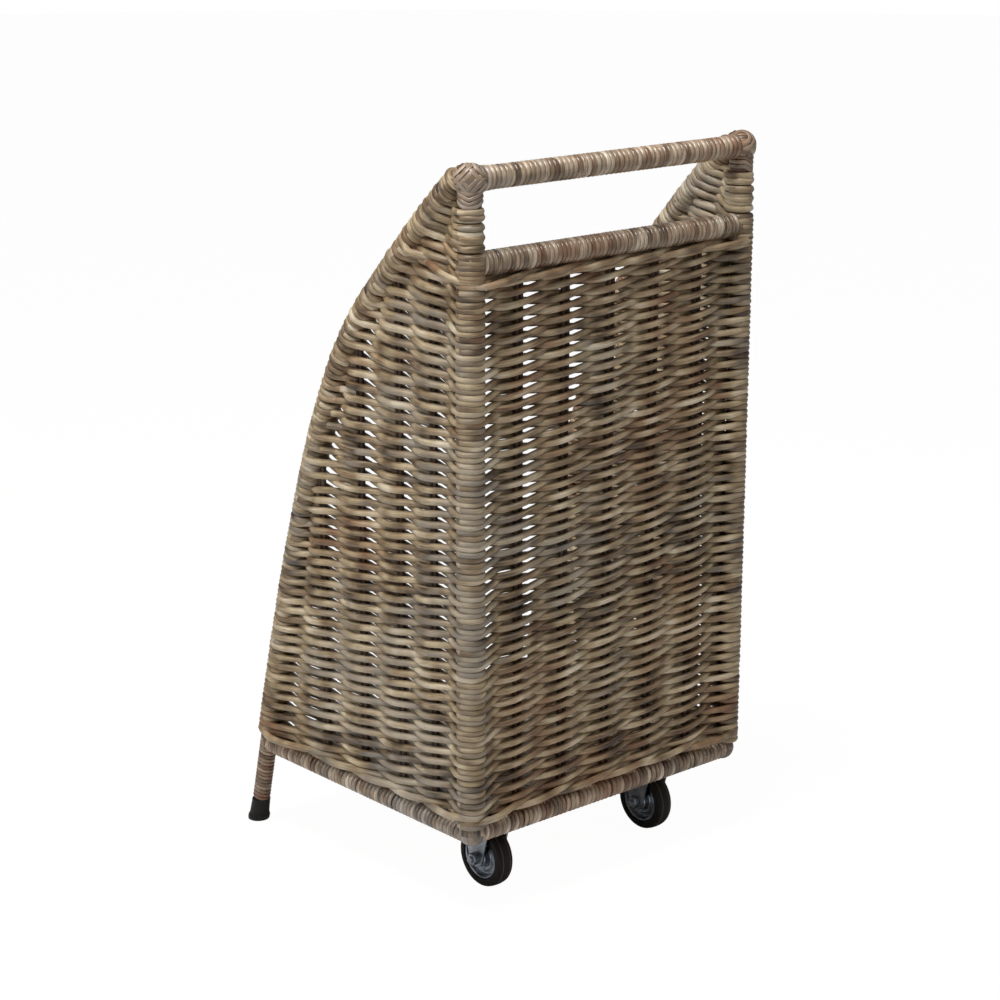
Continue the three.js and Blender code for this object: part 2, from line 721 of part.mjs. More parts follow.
function rimGeometry() {
  const bore = axleSleeveRadius + CLEARANCE;
  const hub = HUB_LENGTH / 2;
  const web = WEB_THICKNESS / 2;
  const edge = RIM_WIDTH / 2;
  const lip = RIM_RADIUS - RIM_LIP;
  return wheelTurned([
    [bore, -hub],
    [HUB_RADIUS - 1, -hub],
    [HUB_RADIUS, -web],
    [lip, -web],
    [lip + 1, -edge],
    [RIM_RADIUS, -edge],
    [RIM_RADIUS, edge],
    [lip + 1, edge],
    [lip, web],
    [HUB_RADIUS, web],
    [HUB_RADIUS - 1, hub],
    [bore, hub],
    [bore, -hub],
  ]);
}

const axleSleeveGeometry = alongX(
  axleSleeveRadius,
  CLEARANCE - forkInner,
  forkInner - CLEARANCE,
  WHEEL_RADIUS,
  { sides: SLEEVE_SIDES, bore: axleSleeveBore },
);

const nutFrom = forkOuter + CLEARANCE;
const boltGeometry = joined(
  alongX(BOLT_RADIUS, -nutFrom - 1, nutFrom + NUT_HEIGHT + BOLT_END, WHEEL_RADIUS),
  alongX(NUT_RADIUS, -nutFrom - BOLT_HEAD, -nutFrom, WHEEL_RADIUS, { sides: 6 }),
);
const nutGeometry = cut(
  alongX(NUT_RADIUS, nutFrom, nutFrom + NUT_HEIGHT, WHEEL_RADIUS, { sides: 6 }),
  alongX(BOLT_RADIUS + CLEARANCE, nutFrom - 1, nutFrom + NUT_HEIGHT + 1, WHEEL_RADIUS),
);
const screwHeadTop = plateTop - FORK_SHEET - CLEARANCE;
const screwGeometry = turned(
  [
    [0, screwHeadTop - SCREW_HEAD],
    [SCREW_HEAD_RADIUS - 1, screwHeadTop - SCREW_HEAD],
    [SCREW_HEAD_RADIUS, screwHeadTop],
    [SCREW_RADIUS, screwHeadTop],
    [SCREW_RADIUS, plateTop + SCREW_DEPTH - 2],
    [0, plateTop + SCREW_DEPTH],
  ],
  8,
);

// ---- The cart ------------------------------------------------------------------------------------

function piece(name, geometry, material) {
  const mesh = new THREE.Mesh(geometry, material);
  mesh.name = name;
  return mesh;
}

function sideFrame(word, hand) {
  const side = new THREE.Group();
  side.position.x = hand * halfSpacing;
  side.rotation.z = hand * SPLAY;
  side.add(
    piece(`${word}_rear_post`, postGeometry, POLE),
    piece(`${word}_arch_pole`, archGeometry, POLE),
    piece(`${word}_base_rail`, sideRailGeometry, POLE),
    piece(`${word}_base_rail_wrap`, sideRailWrapGeometry, CANE),
    piece(`${word}_side_weave`, sideWeave(hand), WOVEN),
    piece(`${word}_leg_wrap`, legWrapGeometry, CANE),
    piece(`${word}_foot_tip`, footGeometry(), BLACK_RUBBER),
  );
  sideStakeGeometries.forEach((geometry, i) => {
    side.add(piece(`${word}_side_stakes_${i + 1}`, geometry, STAKE));
  });
  return side;
}

function cornerBinding(word, hand) {
  const reach = 2 * KNOB_RADIUS;
  const inward = hand > 0 ? [-reach, 0] : [0, reach];
  const handleHole = alongX(HANDLE_RADIUS + CLEARANCE, ...inward, HANDLE_HEIGHT);
  const archHole = archClear.clone().rotateZ(hand * SPLAY);
  const wound = cut(knob(0), postClear, handleHole, archHole);
  const binding = piece(`${word}_corner_binding`, wound, CANE);
  binding.position.x = hand * halfSpacing;
  return binding;
}

function castor(word, hand) {
  const unit = new THREE.Group();
  unit.position.set(hand * castorX, castorY, 0);
  const wheel = new THREE.Group();
  wheel.position.z = WHEEL_RADIUS;
  wheel.add(
    piece(`${word}_wheel_rim`, rimGeometry(), ZINC),
    piece(`${word}_wheel_tyre`, tyreGeometry(), BLACK_RUBBER),
  );
  unit.add(
    wheel,
    piece(`${word}_castor_fork`, forkGeometry(), ZINC),
    piece(`${word}_axle_sleeve`, axleSleeveGeometry, ZINC),
    piece(`${word}_axle_bolt`, boltGeometry, ZINC),
    piece(`${word}_axle_nut`, nutGeometry, ZINC),
  );
  screwPlaces.forEach(([x, y], i) => {
    const screw = piece(`${word}_castor_screw_${i + 1}`, screwGeometry, ZINC);
    screw.position.set(x, y, 0);
    unit.add(screw);
  });
  return unit;
}

const cart = new THREE.Group();
for (const [word, hand] of [
  ["right", 1],
  ["left", -1],
]) {
  cart.add(sideFrame(word, hand), cornerBinding(word, hand), castor(word, hand));
}
cart.add(
  piece("handle_pole", crossPole(HANDLE_RADIUS, HANDLE_HEIGHT), POLE),
  piece(
    "handle_wrap",
    winding(
      "handle_wrap",
      crossWrap(HANDLE_RADIUS, HANDLE_HEIGHT, NECK_RADIUS + CLEARANCE, HANDLE_WRAP_LEAD),
      ROUND_WRAP,
    ),
    CANE,
  ),
  piece("back_top_rail", crossPole(RAIL_RADIUS, railHeight), POLE),
  piece(
    "back_rail_wrap",
    winding(
      "back_rail_wrap",
      crossWrap(RAIL_RADIUS, railHeight, sleeveOuter + CLEARANCE, RAIL_WRAP_LEAD),
      ROUND_WRAP,
    ),
    CANE,
  ),
  piece("back_base_rail", crossPole(BASE_RADIUS, baseHeight), POLE),
  piece(
    "back_base_rail_wrap",
    crossPole(baseOuter, baseHeight, { bore: BASE_RADIUS + CLEARANCE }),
    CANE,
  ),
  piece("front_base_rail", frontRailGeometry, POLE),
  piece("front_base_rail_wrap", frontRailWrapGeometry, CANE),
  piece("back_weave", backWeave(), WOVEN),
  piece("castor_board", castorBoard(), BOARD),
  piece("floor_weave", floorGeometry, WOVEN),
);
backStakePlaces.forEach((x, i) => {
  cart.add(piece(`back_stakes_${i + 1}`, backStake(x), STAKE));
});

// The origin goes to the middle of the box, on the ground.
cart.updateMatrixWorld(true);
const box = new THREE.Box3().setFromObject(cart, true);
cart.position.y = -(box.min.y + box.max.y) / 2;

export default cart;
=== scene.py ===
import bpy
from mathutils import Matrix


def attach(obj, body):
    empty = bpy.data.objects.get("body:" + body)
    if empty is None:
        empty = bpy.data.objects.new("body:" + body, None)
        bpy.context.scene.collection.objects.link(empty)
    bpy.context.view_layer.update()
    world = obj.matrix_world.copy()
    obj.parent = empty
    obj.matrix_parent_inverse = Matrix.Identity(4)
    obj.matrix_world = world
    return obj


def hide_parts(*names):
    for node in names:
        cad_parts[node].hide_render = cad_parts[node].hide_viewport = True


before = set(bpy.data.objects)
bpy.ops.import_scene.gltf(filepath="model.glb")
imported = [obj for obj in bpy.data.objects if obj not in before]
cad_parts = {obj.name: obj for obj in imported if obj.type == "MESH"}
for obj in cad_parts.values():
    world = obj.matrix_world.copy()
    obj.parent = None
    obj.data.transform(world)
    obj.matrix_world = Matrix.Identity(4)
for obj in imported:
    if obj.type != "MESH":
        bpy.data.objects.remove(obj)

"""Looks of the fireside log cart: woven rattan walls on a rattan frame, wound handle and rails, two fixed castors.

All lengths are in millimetres until a piece is finished, and +Z is up. The open front faces -Y.
"""

import logging
import math
import random
from collections.abc import Callable, Sequence
from dataclasses import dataclass, field
from enum import Enum

import bmesh
import bpy
import numpy as np
from mathutils import Matrix, Vector

LOG = logging.getLogger("log_cart")
MM = 0.001
RING = 8  # corners round a strand
STRAND_STEP = 5.0  # length of a strand's segments
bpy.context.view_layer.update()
UP = np.array([0.0, 0.0, 1.0])

Array = np.ndarray
Piece = bpy.types.Object
Shades = tuple[tuple[float, str], ...]


class Slot(str, Enum):
    """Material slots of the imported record."""

    POLE = "rattan_pole"
    WOVEN = "woven_rattan"
    WRAP = "wrap_cane"
    STAKE = "stake_rattan"
    RUBBER = "foot_rubber"
    TYRE = "tyre"
    ZINC = "zinc"


class Wall(Enum):
    """The three woven walls; a side wall's value is the sign of its X."""

    RIGHT = 1
    BACK = 0
    LEFT = -1

    @property
    def side(self) -> str:
        """The wall's name, as piece names begin."""
        return self.name.lower()


SIDES = (Wall.RIGHT, Wall.LEFT)


# ---------------------------------------------------------------- lines


def rows(*columns: Array | float) -> Array:
    """Stacks columns side by side; a plain number fills its column."""
    return np.stack(np.broadcast_arrays(*columns), 1).astype(float)


def full_turn(count: int) -> Array:
    """Returns evenly spaced angles round a circle."""
    return np.linspace(0, 2 * math.pi, count + 1)[:-1]


def spun(angle: Array, first: Array, second: Array) -> Array:
    """Returns the unit vectors at angles from the first direction towards the second."""
    return np.cos(angle)[:, None] * first + np.sin(angle)[:, None] * second


def lengths_along(line: Array) -> Array:
    """Returns the distance along a line at each of its points."""
    return np.concatenate([[0.0], np.cumsum(np.linalg.norm(np.diff(line, axis=0), axis=1))])


# ---------------------------------------------------------------- materials


def linear(code: str) -> tuple[float, float, float, float]:
    """Turns an sRGB hex colour into linear light, with an alpha of 1."""
    parts = [int(code[i : i + 2], 16) / 255 for i in (1, 3, 5)]
    return (*(p / 12.92 if p <= 0.04045 else ((p + 0.055) / 1.055) ** 2.4 for p in parts), 1.0)


def add(
    tree: bpy.types.NodeTree, kind: str, values: dict | Sequence = (), stops: Shades = (), **settings: object
) -> bpy.types.bpy_prop_collection:
    """Adds one node with its settings and links.

    Args:
        tree: The node tree that gets the node.
        kind: The node's type name after ShaderNode.
        values: Sockets to link or plain values for its inputs, by name or number, or in their order.
        stops: A colour ramp's places and hex colours.
        settings: Properties of the node.

    Returns:
        The new node's outputs.
    """
    node = tree.nodes.new("ShaderNode" + kind)
    for name, value in settings.items():
        setattr(node, name, value)
    for name, value in values.items() if isinstance(values, dict) else enumerate(values):
        if isinstance(value, bpy.types.NodeSocket):
            tree.links.new(value, node.inputs[name])
        else:
            node.inputs[name].default_value = value
    for i, (place, code) in enumerate(stops):
        element = node.color_ramp.elements[i] if i < 2 else node.color_ramp.elements.new(place)
        element.position, element.color = place, linear(code)
    return node.outputs


def blank(name: str) -> tuple[bpy.types.Material, bpy.types.NodeTree]:
    """Makes an empty node material.

    Args:
        name: The material's name.

    Returns:
        The material and its node tree.
    """
    material = bpy.data.materials.new(name)
    material.use_nodes = True
    material.node_tree.nodes.clear()
    return material, material.node_tree


@dataclass(frozen=True)
class StrandFinish:
    """Rattan that follows its own strand: fibres along it, blotches of weathering over it.

    The strand's map is in millimetres, along it and around it, and its tone attribute says how pale it is.
    """

    name: str
    shades: Shades
    fleck: str
    warm: str
    cool: str
    roughness: tuple[float, float]
    coat: float
    swing: float
    fibre_width: float = 0.9
    blotch: float = 38.0
    relief: float = 0.16

    def build(self) -> bpy.types.Material:
        """Returns the finished material."""
        material, tree = blank(self.name)
        tone = add(tree, "Attribute", attribute_name="tone", attribute_type="GEOMETRY")["Fac"]
        strand = add(tree, "UVMap", uv_map="Strand")["UV"]
        place = add(tree, "TexCoord")["Object"]
        fibre, drift, fleck = (
            add(tree, "TexNoise", {
                "Vector": add(tree, "VectorMath", (strand, scale), operation="MULTIPLY")[0],
                "Scale": 1.0, "Detail": detail, "Roughness": rough,
            })
            for scale, detail, rough in (
                # fibres: about a millimetre wide and thirty long
                ((0.034, 1 / self.fibre_width, 1.0), 3.0, 0.62),
                # shade and hue drift along a strand over some 45 mm, which tells neighbouring turns apart
                ((0.022, 0.02, 1.0), 2.0, 0.5),
                # dark flecks of bark, about 2 mm by 6 mm
                ((0.16, 0.5, 1.0), 4.0, 0.7),
            )
        )
        fibre, drift, green, fleck = fibre["Fac"], drift["Fac"], drift["Color"], fleck["Fac"]
        clouds = {"Vector": place, "Scale": 1000 / self.blotch, "Detail": 3.0, "Roughness": 0.6}
        patch = add(tree, "TexNoise", clouds)["Fac"]
        wide = add(tree, "TexNoise", {"Vector": place, "Scale": 6.5, "Detail": 1.0})["Fac"]
        hue = add(tree, "Math", (add(tree, "SeparateColor", (green,))[1], 0.9, wide), operation="MULTIPLY_ADD")[0]
        # the swings' own middle is 1.725, and their sum moves the tone up or down
        mixed = add(tree, "Math", (patch, 0.45, fibre), operation="MULTIPLY_ADD")[0]
        mixed = add(tree, "Math", (drift, 2.0, mixed), operation="MULTIPLY_ADD")[0]
        centred = add(tree, "Math", (mixed, 1.725), operation="SUBTRACT")[0]
        level = add(tree, "Math", (centred, self.swing, tone), operation="MULTIPLY_ADD", use_clamp=True)[0]
        colour = add(tree, "ValToRGB", (level,), self.shades)["Color"]
        for value, spread, code in (
            (hue, (0.99, 1.25, 0.0, 0.5), self.warm),
            (hue, (0.92, 0.7, 0.0, 0.55), self.cool),
            (fleck, (0.6, 0.74, 0.0, 0.75), self.fleck),
        ):
            amount = add(tree, "MapRange", (value, *spread))[0]
            colour = add(tree, "Mix", {0: amount, 6: colour, 7: linear(code)}, data_type="RGBA")[2]
        rough = add(tree, "MapRange", (fibre, 0.3, 0.7, *self.roughness))[0]
        bump = add(tree, "Bump", {"Strength": 0.55, "Distance": self.relief * MM, "Height": fibre})["Normal"]
        shader = add(tree, "BsdfPrincipled", {
            "Base Color": colour, "Roughness": rough, "Normal": bump, "IOR": 1.5,
            "Coat Weight": self.coat, "Coat Roughness": 0.3,
        })
        add(tree, "OutputMaterial", (shader[0],))
        return material


@dataclass(frozen=True)
class GrainFinish:
    """Solid wood, cane pole or board, with grain along one axis of the object."""

    name: str
    shades: Shades
    grain: tuple[float, float, float]
    roughness: float
    relief: float = 0.15

    def build(self) -> bpy.types.Material:
        """Returns the finished material."""
        material, tree = blank(self.name)
        place = add(tree, "TexCoord")["Object"]
        run = add(tree, "VectorMath", (place, self.grain), operation="MULTIPLY")[0]
        streaks = {"Vector": run, "Scale": 1.0, "Detail": 5.0, "Roughness": 0.6, "Distortion": 0.4}
        grain = add(tree, "TexNoise", streaks)["Fac"]
        patch = add(tree, "TexNoise", {"Vector": place, "Scale": 22.0, "Detail": 2.0})["Fac"]
        level = add(tree, "Math", (patch, 0.5, grain), operation="MULTIPLY_ADD")[0]
        level = add(tree, "Math", (level, 0.25), operation="SUBTRACT", use_clamp=True)[0]
        colour = add(tree, "ValToRGB", (level,), self.shades)["Color"]
        bump = add(tree, "Bump", {"Strength": 0.5, "Distance": self.relief * MM, "Height": grain})["Normal"]
        surface = {"Base Color": colour, "Roughness": self.roughness, "Normal": bump, "IOR": 1.5}
        add(tree, "OutputMaterial", (add(tree, "BsdfPrincipled", surface)[0],))
        return material


@dataclass(frozen=True)
class ZincFinish:
    """Zinc-plated pressed steel: bluish grey, cloudy where the plating has dulled, with turning rings on wheels."""

    name: str
    bright: str
    dull: str
    roughness: tuple[float, float]
    axle: tuple[float, float] | None = None

    def build(self) -> bpy.types.Material:
        """Returns the finished material."""
        material, tree = blank(self.name)
        place = add(tree, "TexCoord")["Object"]
        height = cloud = add(tree, "TexNoise", {"Vector": place, "Scale": 60.0, "Detail": 3.0})["Fac"]
        colour = add(tree, "ValToRGB", (cloud,), ((0.32, self.dull), (0.68, self.bright)))["Color"]
        if self.axle:
            centre = (0.0, -self.axle[0] * MM, -self.axle[1] * MM)
            from_axle = add(tree, "Mapping", {"Vector": place, "Location": centre})[0]
            flat = add(tree, "VectorMath", (from_axle, (0.0, 1.0, 1.0)), operation="MULTIPLY")[0]
            reach = add(tree, "VectorMath", (flat,), operation="LENGTH")["Value"]
            # turning lines a little under a millimetre apart, drawn coarser than real ones so that they show
            wave = add(tree, "Math", (reach, 7400.0), operation="MULTIPLY")[0]
            rings = add(tree, "Math", (wave,), operation="SINE")[0]
            height = add(tree, "Math", (rings, 1.3, cloud), operation="MULTIPLY_ADD")[0]
        rough = add(tree, "MapRange", (cloud, 0.3, 0.7, *self.roughness))[0]
        bump = add(tree, "Bump", {"Strength": 0.6, "Distance": 0.06 * MM, "Height": height})["Normal"]
        surface = {"Base Color": colour, "Metallic": 1.0, "Roughness": rough, "Normal": bump}
        add(tree, "OutputMaterial", (add(tree, "BsdfPrincipled", surface)[0],))
        return material


@dataclass(frozen=True)
class RubberFinish:
    """Black moulded rubber, slightly dusty, with two thin brown mould lines where it is a tyre."""

    name: str
    black: str
    dust: str
    roughness: float
    lines_at: float = 0.0
    lines_off: float = 0.0
    line: str = "#5A4433"
    line_half: float = 0.42

    def build(self) -> bpy.types.Material:
        """Returns the finished material."""
        material, tree = blank(self.name)
        place = add(tree, "TexCoord")["Object"]
        grit = add(tree, "TexNoise", {"Vector": place, "Scale": 900.0, "Detail": 4.0})["Fac"]
        smear = add(tree, "TexNoise", {"Vector": place, "Scale": 60.0, "Detail": 4.0, "Roughness": 0.65})["Fac"]
        colour = add(tree, "ValToRGB", (smear,), ((0.35, self.black), (0.8, self.dust)))["Color"]
        if self.lines_at:
            side = add(tree, "Math", (add(tree, "SeparateXYZ", (place,))[0],), operation="ABSOLUTE")[0]
            side = add(tree, "Math", (side, self.lines_at * MM), operation="SUBTRACT")[0]
            side = add(tree, "Math", (side,), operation="ABSOLUTE")[0]
            near = add(tree, "Math", (side, self.lines_off * MM, self.line_half * MM), operation="COMPARE")[0]
            colour = add(tree, "Mix", {0: near, 6: colour, 7: linear(self.line)}, data_type="RGBA")[2]
        bump = add(tree, "Bump", {"Strength": 0.4, "Distance": 0.06 * MM, "Height": grit})["Normal"]
        surface = {"Base Color": colour, "Roughness": self.roughness, "Normal": bump, "IOR": 1.32}
        add(tree, "OutputMaterial", (add(tree, "BsdfPrincipled", surface)[0],))
        return material


class Finishes:
    """Every finish of the cart, built once."""

    def __init__(self) -> None:
        """Builds the materials."""
        # Weathered kubu rattan core: half-matt rods of mixed brown, olive and grey, dark bark left in the creases.
        self.woven = StrandFinish(
            "Kubu rattan core",
            ((0.0, "#33261A"), (0.25, "#67543D"), (0.5, "#927E61"), (0.75, "#B5A384"), (1.0, "#D6C9B2")),
            "#3E2C1E", "#8E6243", "#A19A90", (0.32, 0.56), 0.2, 1.05,
        ).build()
        # Split glazed cane: the skin keeps its natural shine, so each turn carries a bright line along its crown.
        self.cane = StrandFinish(
            "Split glazed cane",
            ((0.0, "#382A20"), (0.3, "#6E5C4A"), (0.55, "#94816C"), (0.8, "#B4A28C"), (1.0, "#D3C6B4")),
            "#3F2D20", "#87593C", "#A09A96", (0.22, 0.38), 0.5, 1.35, fibre_width=1.1, blotch=30.0, relief=0.12,
        ).build()
        # Stained cane binding: greyish brown and half glossy, a little darker than the rails' cane.
        self.binding = StrandFinish(
            "Stained cane binding",
            ((0.0, "#3A2A20"), (0.3, "#75614F"), (0.6, "#9A8774"), (1.0, "#C2B3A2")),
            "#3A281C", "#8A6246", "#98908A", (0.28, 0.44), 0.3, 0.6, fibre_width=1.0, blotch=24.0, relief=0.1,
        ).build()
        # Stained stake rods: brown and matt, nearly lost in the weave's shade, which their low tones also paint in.
        self.stake = StrandFinish(
            "Stained stake rattan",
            ((0.0, "#2E2016"), (0.35, "#5C4432"), (0.7, "#826750"), (1.0, "#A08870")),
            "#2A1C12", "#6E452C", "#7A6C60", (0.45, 0.65), 0.05, 0.6,
        ).build()
        # Peeled rattan poles under the winding: smooth, brown, with darker knots.
        brown = ((0.2, "#4A3626"), (0.5, "#6B5038"), (0.85, "#8A7052"))
        self.pole = GrainFinish("Peeled rattan pole", brown, (420.0, 420.0, 26.0), 0.5).build()
        # Pine board: pale brown softwood, grain across the cart.
        pale = ((0.2, "#9A7648"), (0.5, "#B8935E"), (0.85, "#CDAE7C"))
        self.board = GrainFinish("Pine board", pale, (12.0, 190.0, 260.0), 0.62, 0.2).build()
        # Zinc-plated steel: bluish and half dull; the wheel discs a little shinier, with turning rings.
        self.zinc = ZincFinish("Zinc-plated steel", "#9DA4AD", "#6A717A", (0.24, 0.4)).build()
        disc = "Zinc-plated wheel disc"
        self.rim = ZincFinish(disc, "#A9B1BB", "#666E78", (0.2, 0.34), (Castor.along, Castor.axle)).build()
        # Vulcanised tyre rubber: black, half matt, with brown mould lines either side of the tread's crown.
        self.tyre = RubberFinish("Tyre rubber", "#0A0A09", "#161412", 0.56, Castor.across, 5.2).build()
        # Moulded rubber foot: the same black with a little more sheen.
        self.rubber = RubberFinish("Moulded foot rubber", "#0B0A0A", "#171514", 0.5).build()


# ---------------------------------------------------------------- sizes


@dataclass(frozen=True)
class CartLayout:
    """Where the poles and stakes stand in the shared frame."""

    post_x: float = 200.0
    post_y: float = 193.4
    post_radius: float = 8.7
    arch_radius: float = 7.8
    stake_radius: float = 2.9
    splay: float = math.radians(2.3)
    back_gap: float = 400 / 6
    side_stakes: tuple[float, ...] = (60.0, 116.0, 182.0, 252.0)
    base_height: float = 105.5
    rail_height: float = 742.8
    handle_height: float = 832.0
    arch_axis: tuple[tuple[float, float], ...] = (
        (0.0, 849.0), (28.0, 821.1), (56.2, 793.4), (84.0, 765.3), (111.1, 736.5), (137.9, 707.5), (164.1, 677.9),
        (188.2, 646.5), (208.9, 612.9), (226.5, 577.5), (242.2, 541.2), (256.6, 504.5), (269.6, 467.1), (281.5, 429.4),
        (292.9, 391.6), (304.0, 353.7), (314.5, 315.5), (324.4, 277.3), (334.0, 238.9), (343.5, 200.6), (352.7, 162.1),
        (361.6, 123.6), (370.4, 85.1), (379.2, 46.5), (388.0, 8.0),
    )

    def place(self, wall: Wall, local: Array) -> Array:
        """Moves points of a wall into the shared frame.

        Args:
            wall: The wall that they are on.
            local: Rows of distance from the wall's post, depth outwards and height.

        Returns:
            Rows of X, Y and Z.
        """
        along, depth, height = local[:, 0], local[:, 1], local[:, 2]
        if wall is Wall.BACK:
            return rows(self.post_x - along, self.post_y + depth, height)
        s, c = math.sin(self.splay), math.cos(self.splay)
        x = self.post_x + along * s + depth * c
        return rows(wall.value * x, self.post_y - along * c + depth * s, height)

    def arch_lengths(self) -> Array:
        """Returns the distance along the bent pole at each of its axis points."""
        return lengths_along(np.array(self.arch_axis))

    def arch_at(self, length: float) -> tuple[Array, Array]:
        """Finds a place on the bent pole.

        Args:
            length: Distance along its axis from the top.

        Returns:
            The axis point (reach, height) and the unit normal that points to the front and up.
        """
        axis, runs = np.array(self.arch_axis), self.arch_lengths()
        at, ahead, behind = (
            np.array([np.interp(length + d, runs, axis[:, i]) for i in (0, 1)]) for d in (0.0, 18.0, -18.0)
        )
        run = (ahead - behind) / np.linalg.norm(ahead - behind)
        return at, np.array([-run[1], run[0]])

    def arch_length_at(self, height: float, slope: float = 0.0) -> float:
        """Finds where a line across the side wall meets the bent pole.

        Args:
            height: The line's height at the rear post.
            slope: Its rise for each millimetre towards the front.

        Returns:
            The distance along the pole's axis.
        """
        axis = np.array(self.arch_axis)
        return float(np.interp(-height, slope * axis[:, 0] - axis[:, 1], self.arch_lengths()))

    def arch_reach(self, height: float, slope: float = 0.0) -> float:
        """Returns how far in front of the post such a line meets the bent pole."""
        return float(self.arch_at(self.arch_length_at(height, slope))[0][0])

    def arch_line(self, wall: Wall, lengths: Array) -> Array:
        """Returns the bent pole's axis in the shared frame, at distances along it."""
        axis = np.array([self.arch_at(length)[0] for length in lengths])
        return self.place(wall, rows(axis[:, 0], 0.0, axis[:, 1]))


# ---------------------------------------------------------------- strands


@dataclass
class Strand:
    """One rod or strip of cane along a line of points.

    A normal at each point and a flatness below 1 press the round section into a strip.
    """

    points: Array
    radius: float | Array
    tone: float = 0.5
    closed: bool = False
    normals: Array | None = None
    flatness: float = 1.0


@dataclass
class StrandBundle:
    """Strands that are made into one mesh piece."""

    name: str
    strands: list[Strand] = field(default_factory=list)

    def make(self, material: bpy.types.Material, replaced: Sequence[str] = ()) -> Piece:
        """Sweeps every strand and joins them in one piece.

        Args:
            material: The finish.
            replaced: CAD nodes that the piece stands for.

        Returns:
            The finished piece.
        """
        curve = bpy.data.curves.new(self.name + "_line", "CURVE")
        curve.dimensions, curve.bevel_depth, curve.bevel_resolution = "3D", 1.0, RING // 2 - 2
        curve.use_fill_caps, curve.twist_mode, curve.fill_mode = False, "MINIMUM", "FULL"
        for s in self.strands:
            count, spline = len(s.points), curve.splines.new("POLY")
            spline.points.add(count - 1)
            spline.points.foreach_set("co", np.c_[s.points, np.ones(count)].astype(np.float32).ravel())
            spline.points.foreach_set("radius", np.broadcast_to(np.asarray(s.radius, np.float32), count).copy())
            spline.use_cyclic_u = s.closed
        guide = bpy.data.objects.new(self.name + "_guide", curve)
        bpy.context.scene.collection.objects.link(guide)
        bpy.context.view_layer.update()
        mesh = bpy.data.meshes.new_from_object(guide.evaluated_get(bpy.context.evaluated_depsgraph_get()))
        bpy.data.objects.remove(guide)
        bpy.data.curves.remove(curve)
        self._press(mesh)
        self._map(mesh)
        return finish_piece(self.name, mesh, material, replaced)

    def _press(self, mesh: bpy.types.Mesh) -> None:
        """Flattens the sections of strands that have normals.

        Args:
            mesh: The swept mesh, ring after ring.
        """
        where = np.empty(len(mesh.vertices) * 3, np.float32)
        mesh.vertices.foreach_get("co", where)
        where, start = where.reshape(-1, 3), 0
        for s in self.strands:
            end = start + len(s.points) * RING
            if s.normals is not None:
                centre = np.repeat(s.points, RING, 0)
                normal = np.repeat(s.normals, RING, 0)
                out = ((where[start:end] - centre) * normal).sum(1, keepdims=True)
                where[start:end] -= (1 - s.flatness) * out * normal
            start = end
        mesh.vertices.foreach_set("co", where.ravel())

    def _map(self, mesh: bpy.types.Mesh) -> None:
        """Writes the strands' map in millimetres and their tones.

        Args:
            mesh: The swept mesh, ring after ring.
        """
        owner = np.repeat(np.arange(len(self.strands)), [len(s.points) * RING for s in self.strands])
        lines = [np.vstack([s.points, s.points[:1]]) if s.closed else s.points for s in self.strands]
        runs = [lengths_along(line) for line in lines]
        spans = np.array([len(line) - 1 for line in lines])
        firsts = np.cumsum([0, *(spans + 1)])[:-1]
        girths = np.array([2 * math.pi * float(np.mean(s.radius)) for s in self.strands])
        shifts = np.arange(len(lines)) * 371.0 % 5000.0  # so that no two strands share their fibres
        corners = np.empty(len(mesh.loops), np.int32)
        mesh.loops.foreach_get("vertex_index", corners)
        flat = np.empty(len(mesh.loops) * 2, np.float32)
        layer = mesh.uv_layers[0]
        layer.data.foreach_get("uv", flat)
        flat, own = flat.reshape(-1, 2), owner[corners]
        step = np.rint(flat[:, 0] * spans[own]).astype(int)
        mapped = rows(np.concatenate(runs)[firsts[own] + step] + shifts[own], flat[:, 1] * girths[own])
        layer.name = "Strand"
        layer.data.foreach_set("uv", mapped.astype(np.float32).ravel())
        write_tones(mesh, np.array([s.tone for s in self.strands])[owner])


def write_tones(mesh: bpy.types.Mesh, tones: Array) -> None:
    """Writes how pale the strand finishes are at each vertex."""
    mesh.attributes.new("tone", "FLOAT", "POINT").data.foreach_set("value", tones.astype(np.float32))


def finish_piece(
    name: str, mesh: bpy.types.Mesh, material: bpy.types.Material, replaced: Sequence[str],
    body: str = "cart", split: float = 0.0,
) -> Piece:
    """Closes a mesh, turns its faces outwards, scales it to metres and puts it on its CAD body.

    Args:
        name: The piece's name.
        mesh: Its mesh in millimetres.
        material: Its finish.
        replaced: CAD nodes that it stands for.
        body: The CAD body that it rides on.
        split: Degrees above which an edge stays crisp, or 0 where all are soft.

    Returns:
        The piece.
    """
    work = bmesh.new()
    work.from_mesh(mesh)
    rims = [e for e in work.edges if e.is_boundary]
    if rims:
        bmesh.ops.holes_fill(work, edges=rims, sides=0)
    bmesh.ops.recalc_face_normals(work, faces=work.faces[:])
    bmesh.ops.scale(work, vec=(MM, MM, MM), verts=work.verts[:])
    for face in work.faces:
        face.smooth = len(face.verts) <= 4
    work.to_mesh(mesh)
    work.free()
    mesh.name = name
    mesh.materials.clear()
    mesh.materials.append(material)
    piece = bpy.data.objects.new(name, mesh)
    bpy.context.scene.collection.objects.link(piece)
    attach(piece, body)
    if replaced:
        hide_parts(*replaced)
    if split:
        piece.modifiers.new("Corners", "EDGE_SPLIT").split_angle = math.radians(split)
    LOG.info("%s: %d faces", name, len(mesh.polygons))
    return piece


# ---------------------------------------------------------------- weaving


